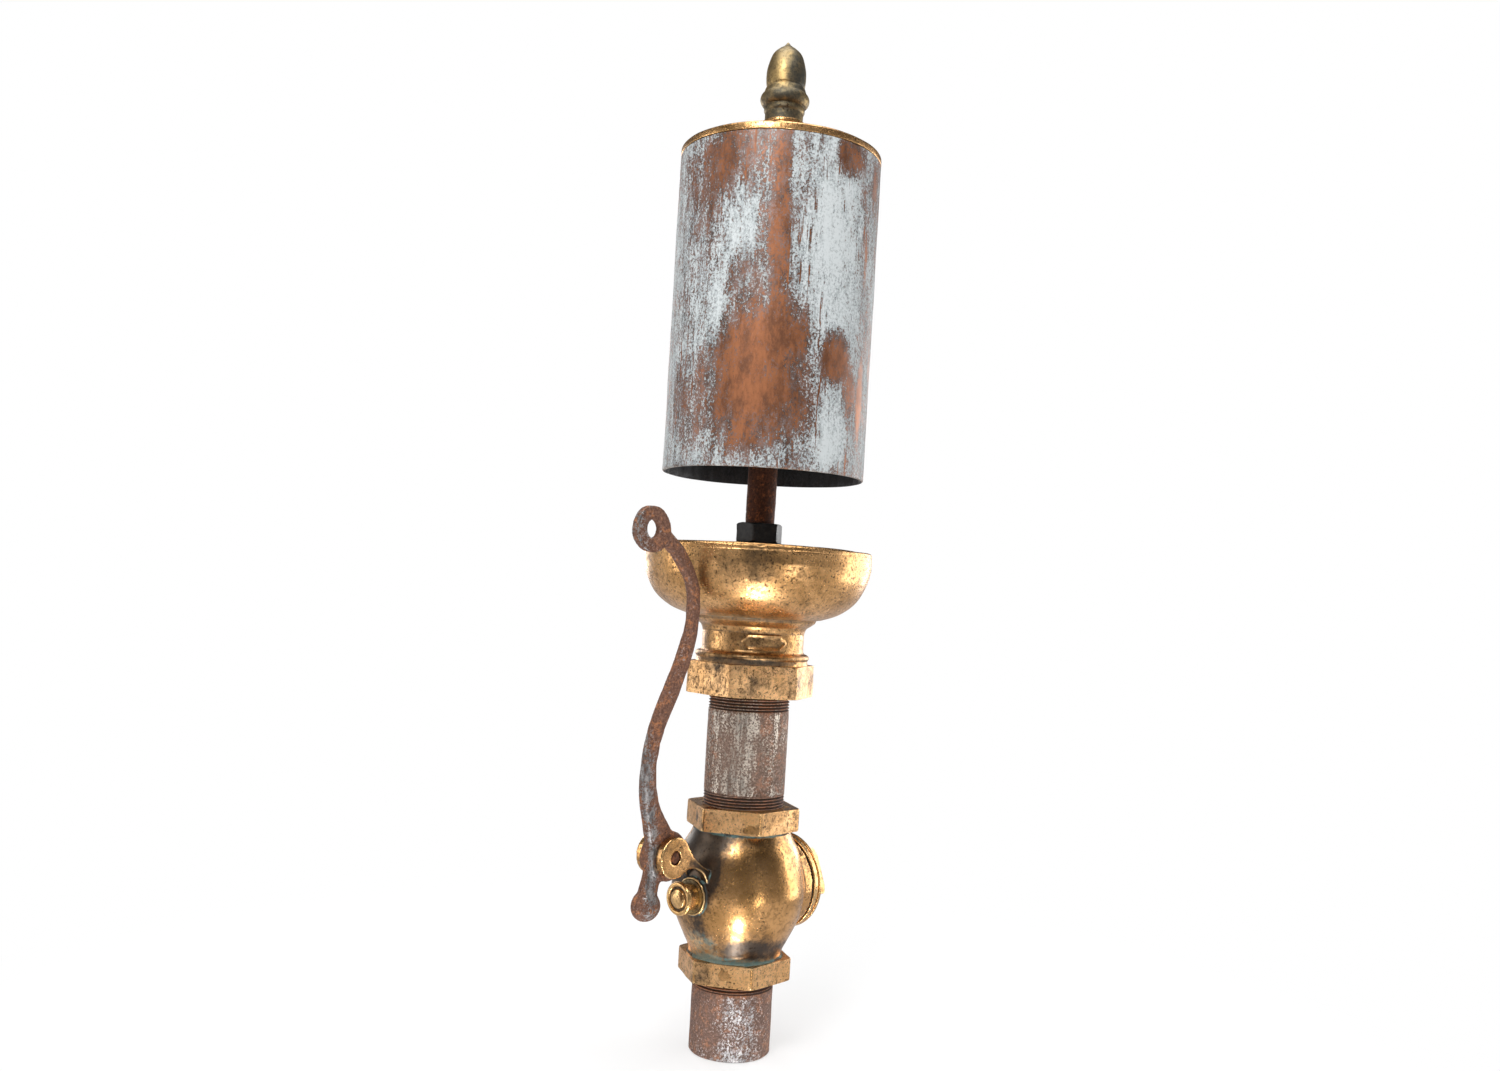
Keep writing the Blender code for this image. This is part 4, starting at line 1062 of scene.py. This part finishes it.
def riser_steel():
    """The riser: drawn bands of steel and rust, with most rust at the threads, and rust bands down its sides
    that also paint shade.
    """
    middle = (VALVE_HEAD + BOWL_FOOT) / 2
    return iron(
        "riser_steel", (0.72, 0.64, 0.54), (0.30, 0.195, 0.145), (0.40, 0.19, 0.11), bareness=0.35,
        gloss=0.36, shift=60, drawn=0.3, speckle=1.7,
        # Rust at the threads; the bands down the sides are rust and painted shade
        rust_and_shade=[
            (0, PIPE_R, VALVE_HEAD + 3, 60, 7, 0.34),
            (0, PIPE_R, BOWL_FOOT - 5, 60, 8, 0.12),
            (72, PIPE_R, middle, 18, 70, 0.16),
            (-66, PIPE_R, middle, 15, 70, 0.12),
            (26, PIPE_R, middle, 8, 70, 0.14),
        ],
    )


# ---- studio


def from_front(turn, distance, height):
    """A place round the whistle, with turn in degrees from -Y."""
    return AXIS + Vector((sin(radians(turn)) * distance, -cos(radians(turn)) * distance, height)) * MM


def area_light(name, turn, distance, height, size, watts, aim, tall=None):
    """A soft light round the whistle. Aim is the height it looks at."""
    lamp = bpy.data.lights.new(name, "AREA")
    lamp.energy = watts
    lamp.size = size * MM
    if tall:
        lamp.shape = "RECTANGLE"
        lamp.size_y = tall * MM
    made = add(name, lamp)
    made.location = from_front(turn, distance, height)
    look = AXIS + Vector((0, 0, aim)) * MM - made.location
    made.rotation_mode = "QUATERNION"
    made.rotation_quaternion = look.to_track_quat("-Z", "Y")
    made.visible_camera = False


def make_world():
    """White behind the object, and a studio that is dim overhead in what the metal mirrors."""
    world = bpy.data.worlds.new("studio")
    bpy.context.scene.world = world
    world.use_nodes = True
    graph = Graph(world.node_tree)
    direction = graph.node("TexCoord").outputs["Generated"]
    rise = graph.node("SeparateXYZ", {0: direction}).outputs["Z"]
    ramp = graph.node("ValToRGB", {0: graph.node("MapRange", {"Value": rise, "From Min": -1.0}).outputs[0]})
    steps = ramp.color_ramp.elements
    tones = [(0.0, 0.70), (0.30, 0.60), (0.46, 0.42), (0.54, 0.26), (0.66, 0.10), (0.90, 0.045)]
    for place, tone in tones[1:-1]:
        steps.new(place).color = (tone, tone, tone * 1.04, 1)
    for step, (place, tone) in zip((steps[0], steps[-1]), (tones[0], tones[-1])):
        step.position = place
        step.color = (tone, tone, tone * 1.08, 1)
    seen = graph.node("LightPath").outputs["Is Camera Ray"]
    colour = graph.mix(seen, ramp.outputs[0], (1.0, 1.0, 1.0))
    graph.feed(world.node_tree.nodes["Background"].inputs["Color"], colour)


def make_floor():
    """A pale floor that fades into the white background away from the whistle."""
    mesh = bpy.data.meshes.new("floor")
    half = 30.0
    corners = [(-half, -half, 0), (half, -half, 0), (half, half, 0), (-half, half, 0)]
    mesh.from_pydata(corners, [], [(0, 1, 2, 3)])
    floor = add("floor", mesh)
    floor.location = (0, 0, cad_box[0].z - 0.4 * MM)
    paint = Paint("white_floor")
    colour = paint.mix(paint.noise(400, 2), (0.93, 0.93, 0.935), (0.95, 0.95, 0.95))
    finish = paint.finish(colour, 0.9, 0.0, [])
    seen = paint.node("LightPath").outputs["Is Camera Ray"]
    glow = paint.node("Emission", {"Color": (1, 1, 1, 1), "Strength": paint.blend(seen, 0.45, 1.0)})
    reach = paint.node("VectorMath", {0: paint.place}, operation="LENGTH").outputs["Value"]
    share = paint.blend(paint.band(reach, 0.15, 0.6), 0.62, 1.0)
    joined = paint.node("MixShader", {0: share, 1: paint.shader.outputs[0], 2: glow.outputs[0]})
    paint.feed(paint.tree.nodes["Material Output"].inputs["Surface"], joined.outputs[0])
    mesh.materials.append(finish)
    floor.visible_glossy = False
    floor.visible_shadow = False


def make_camera():
    """The viewpoint: level with the bowl, and rolled a little, so that the whistle leans right."""
    data = bpy.data.cameras.new("camera")
    data.lens = 30.45
    data.shift_y = 0.03
    made = add("camera", data)
    yaw_left, pitch_up, roll = radians(0.29), radians(0.62), radians(3.4)
    turned = Matrix.Rotation(radians(VIEW_TURN) + yaw_left, 4, "Z")
    turned = turned @ Matrix.Rotation(pi / 2 + pitch_up, 4, "X") @ Matrix.Rotation(roll, 4, "Z")
    made.matrix_world = Matrix.Translation(from_front(VIEW_TURN, VIEW_DISTANCE, VIEW_HEIGHT)) @ turned
    bpy.context.scene.camera = made


def make_studio():
    make_world()
    make_floor()
    make_camera()
    # Turn from the viewer, distance, height, width, watts, height of the aim, and how tall if not square
    lights = {
        "key": (-20, 1000, 1250, 460, 11, 400, 560),
        "fill_right": (108, 1100, 420, 600, 5.5, 330, 1000),
        "strip": (36, 1000, -60, 80, 1.1, 200, 420),
        "edge_left": (-86, 1100, 420, 420, 3.0, 330, 1000),
        "below": (2, 420, -950, 130, 5, 200),
        "glare": (5, 700, -620, 100, 4.5, 200),
        "overhead": (0, 250, 1900, 1500, 26, 0),
        "back_left": (-150, 1300, 600, 500, 5, 330, 800),
        "back_right": (140, 1300, 500, 500, 5.5, 330, 800),
    }
    for name, (turn, *rest) in lights.items():
        area_light(name, VIEW_TURN + turn, *rest)
    bpy.context.scene.view_settings.view_transform = "Standard"


def carry_over(finishes):
    """Finishes the CAD nodes that stay as they are, inside the valve and the bell."""
    for node, finish in finishes.items():
        mesh = frame["nodes"][node].data
        mesh.materials.clear()
        mesh.materials.append(finish)


def main():
    gold, pale, bronze = gold_brass(), pale_brass(), dark_bronze()
    rod = rod_rust()
    black = plain("black_iron", (0.024, 0.023, 0.022), (0.008, 0.008, 0.008), 0.45, 0.4)
    steel = plain("spring_steel", (0.50, 0.50, 0.51), (0.32, 0.32, 0.33), 0.34, 1.0)
    fibre = plain("red_fibre", (0.34, 0.11, 0.06), (0.20, 0.06, 0.035), 0.85, 0.0, 2.0)
    make_inlet_pipe(worn_pipe())
    make_riser(riser_steel())
    make_valve_casting(old_brass())
    make_collars(collar_brass())
    make_cap(pale)
    make_stem(pale)
    make_spring(steel)
    make_lever(rusty_iron(), rod)
    make_bowl(gold)
    make_bowl_disc(gold)
    make_spindle(rod, black)
    make_bell(patina_copper(), gold)
    make_acorn(bronze)
    carry_over(
        {
            "seat_ring": bronze,
            "stem_bush": bronze,
            "valve_disc": pale,
            "disc_facing": fibre,
            "disc_nut": steel,
            "cap_gasket": black,
            "bell_jam_nut": black,
        }
    )
    make_studio()


main()
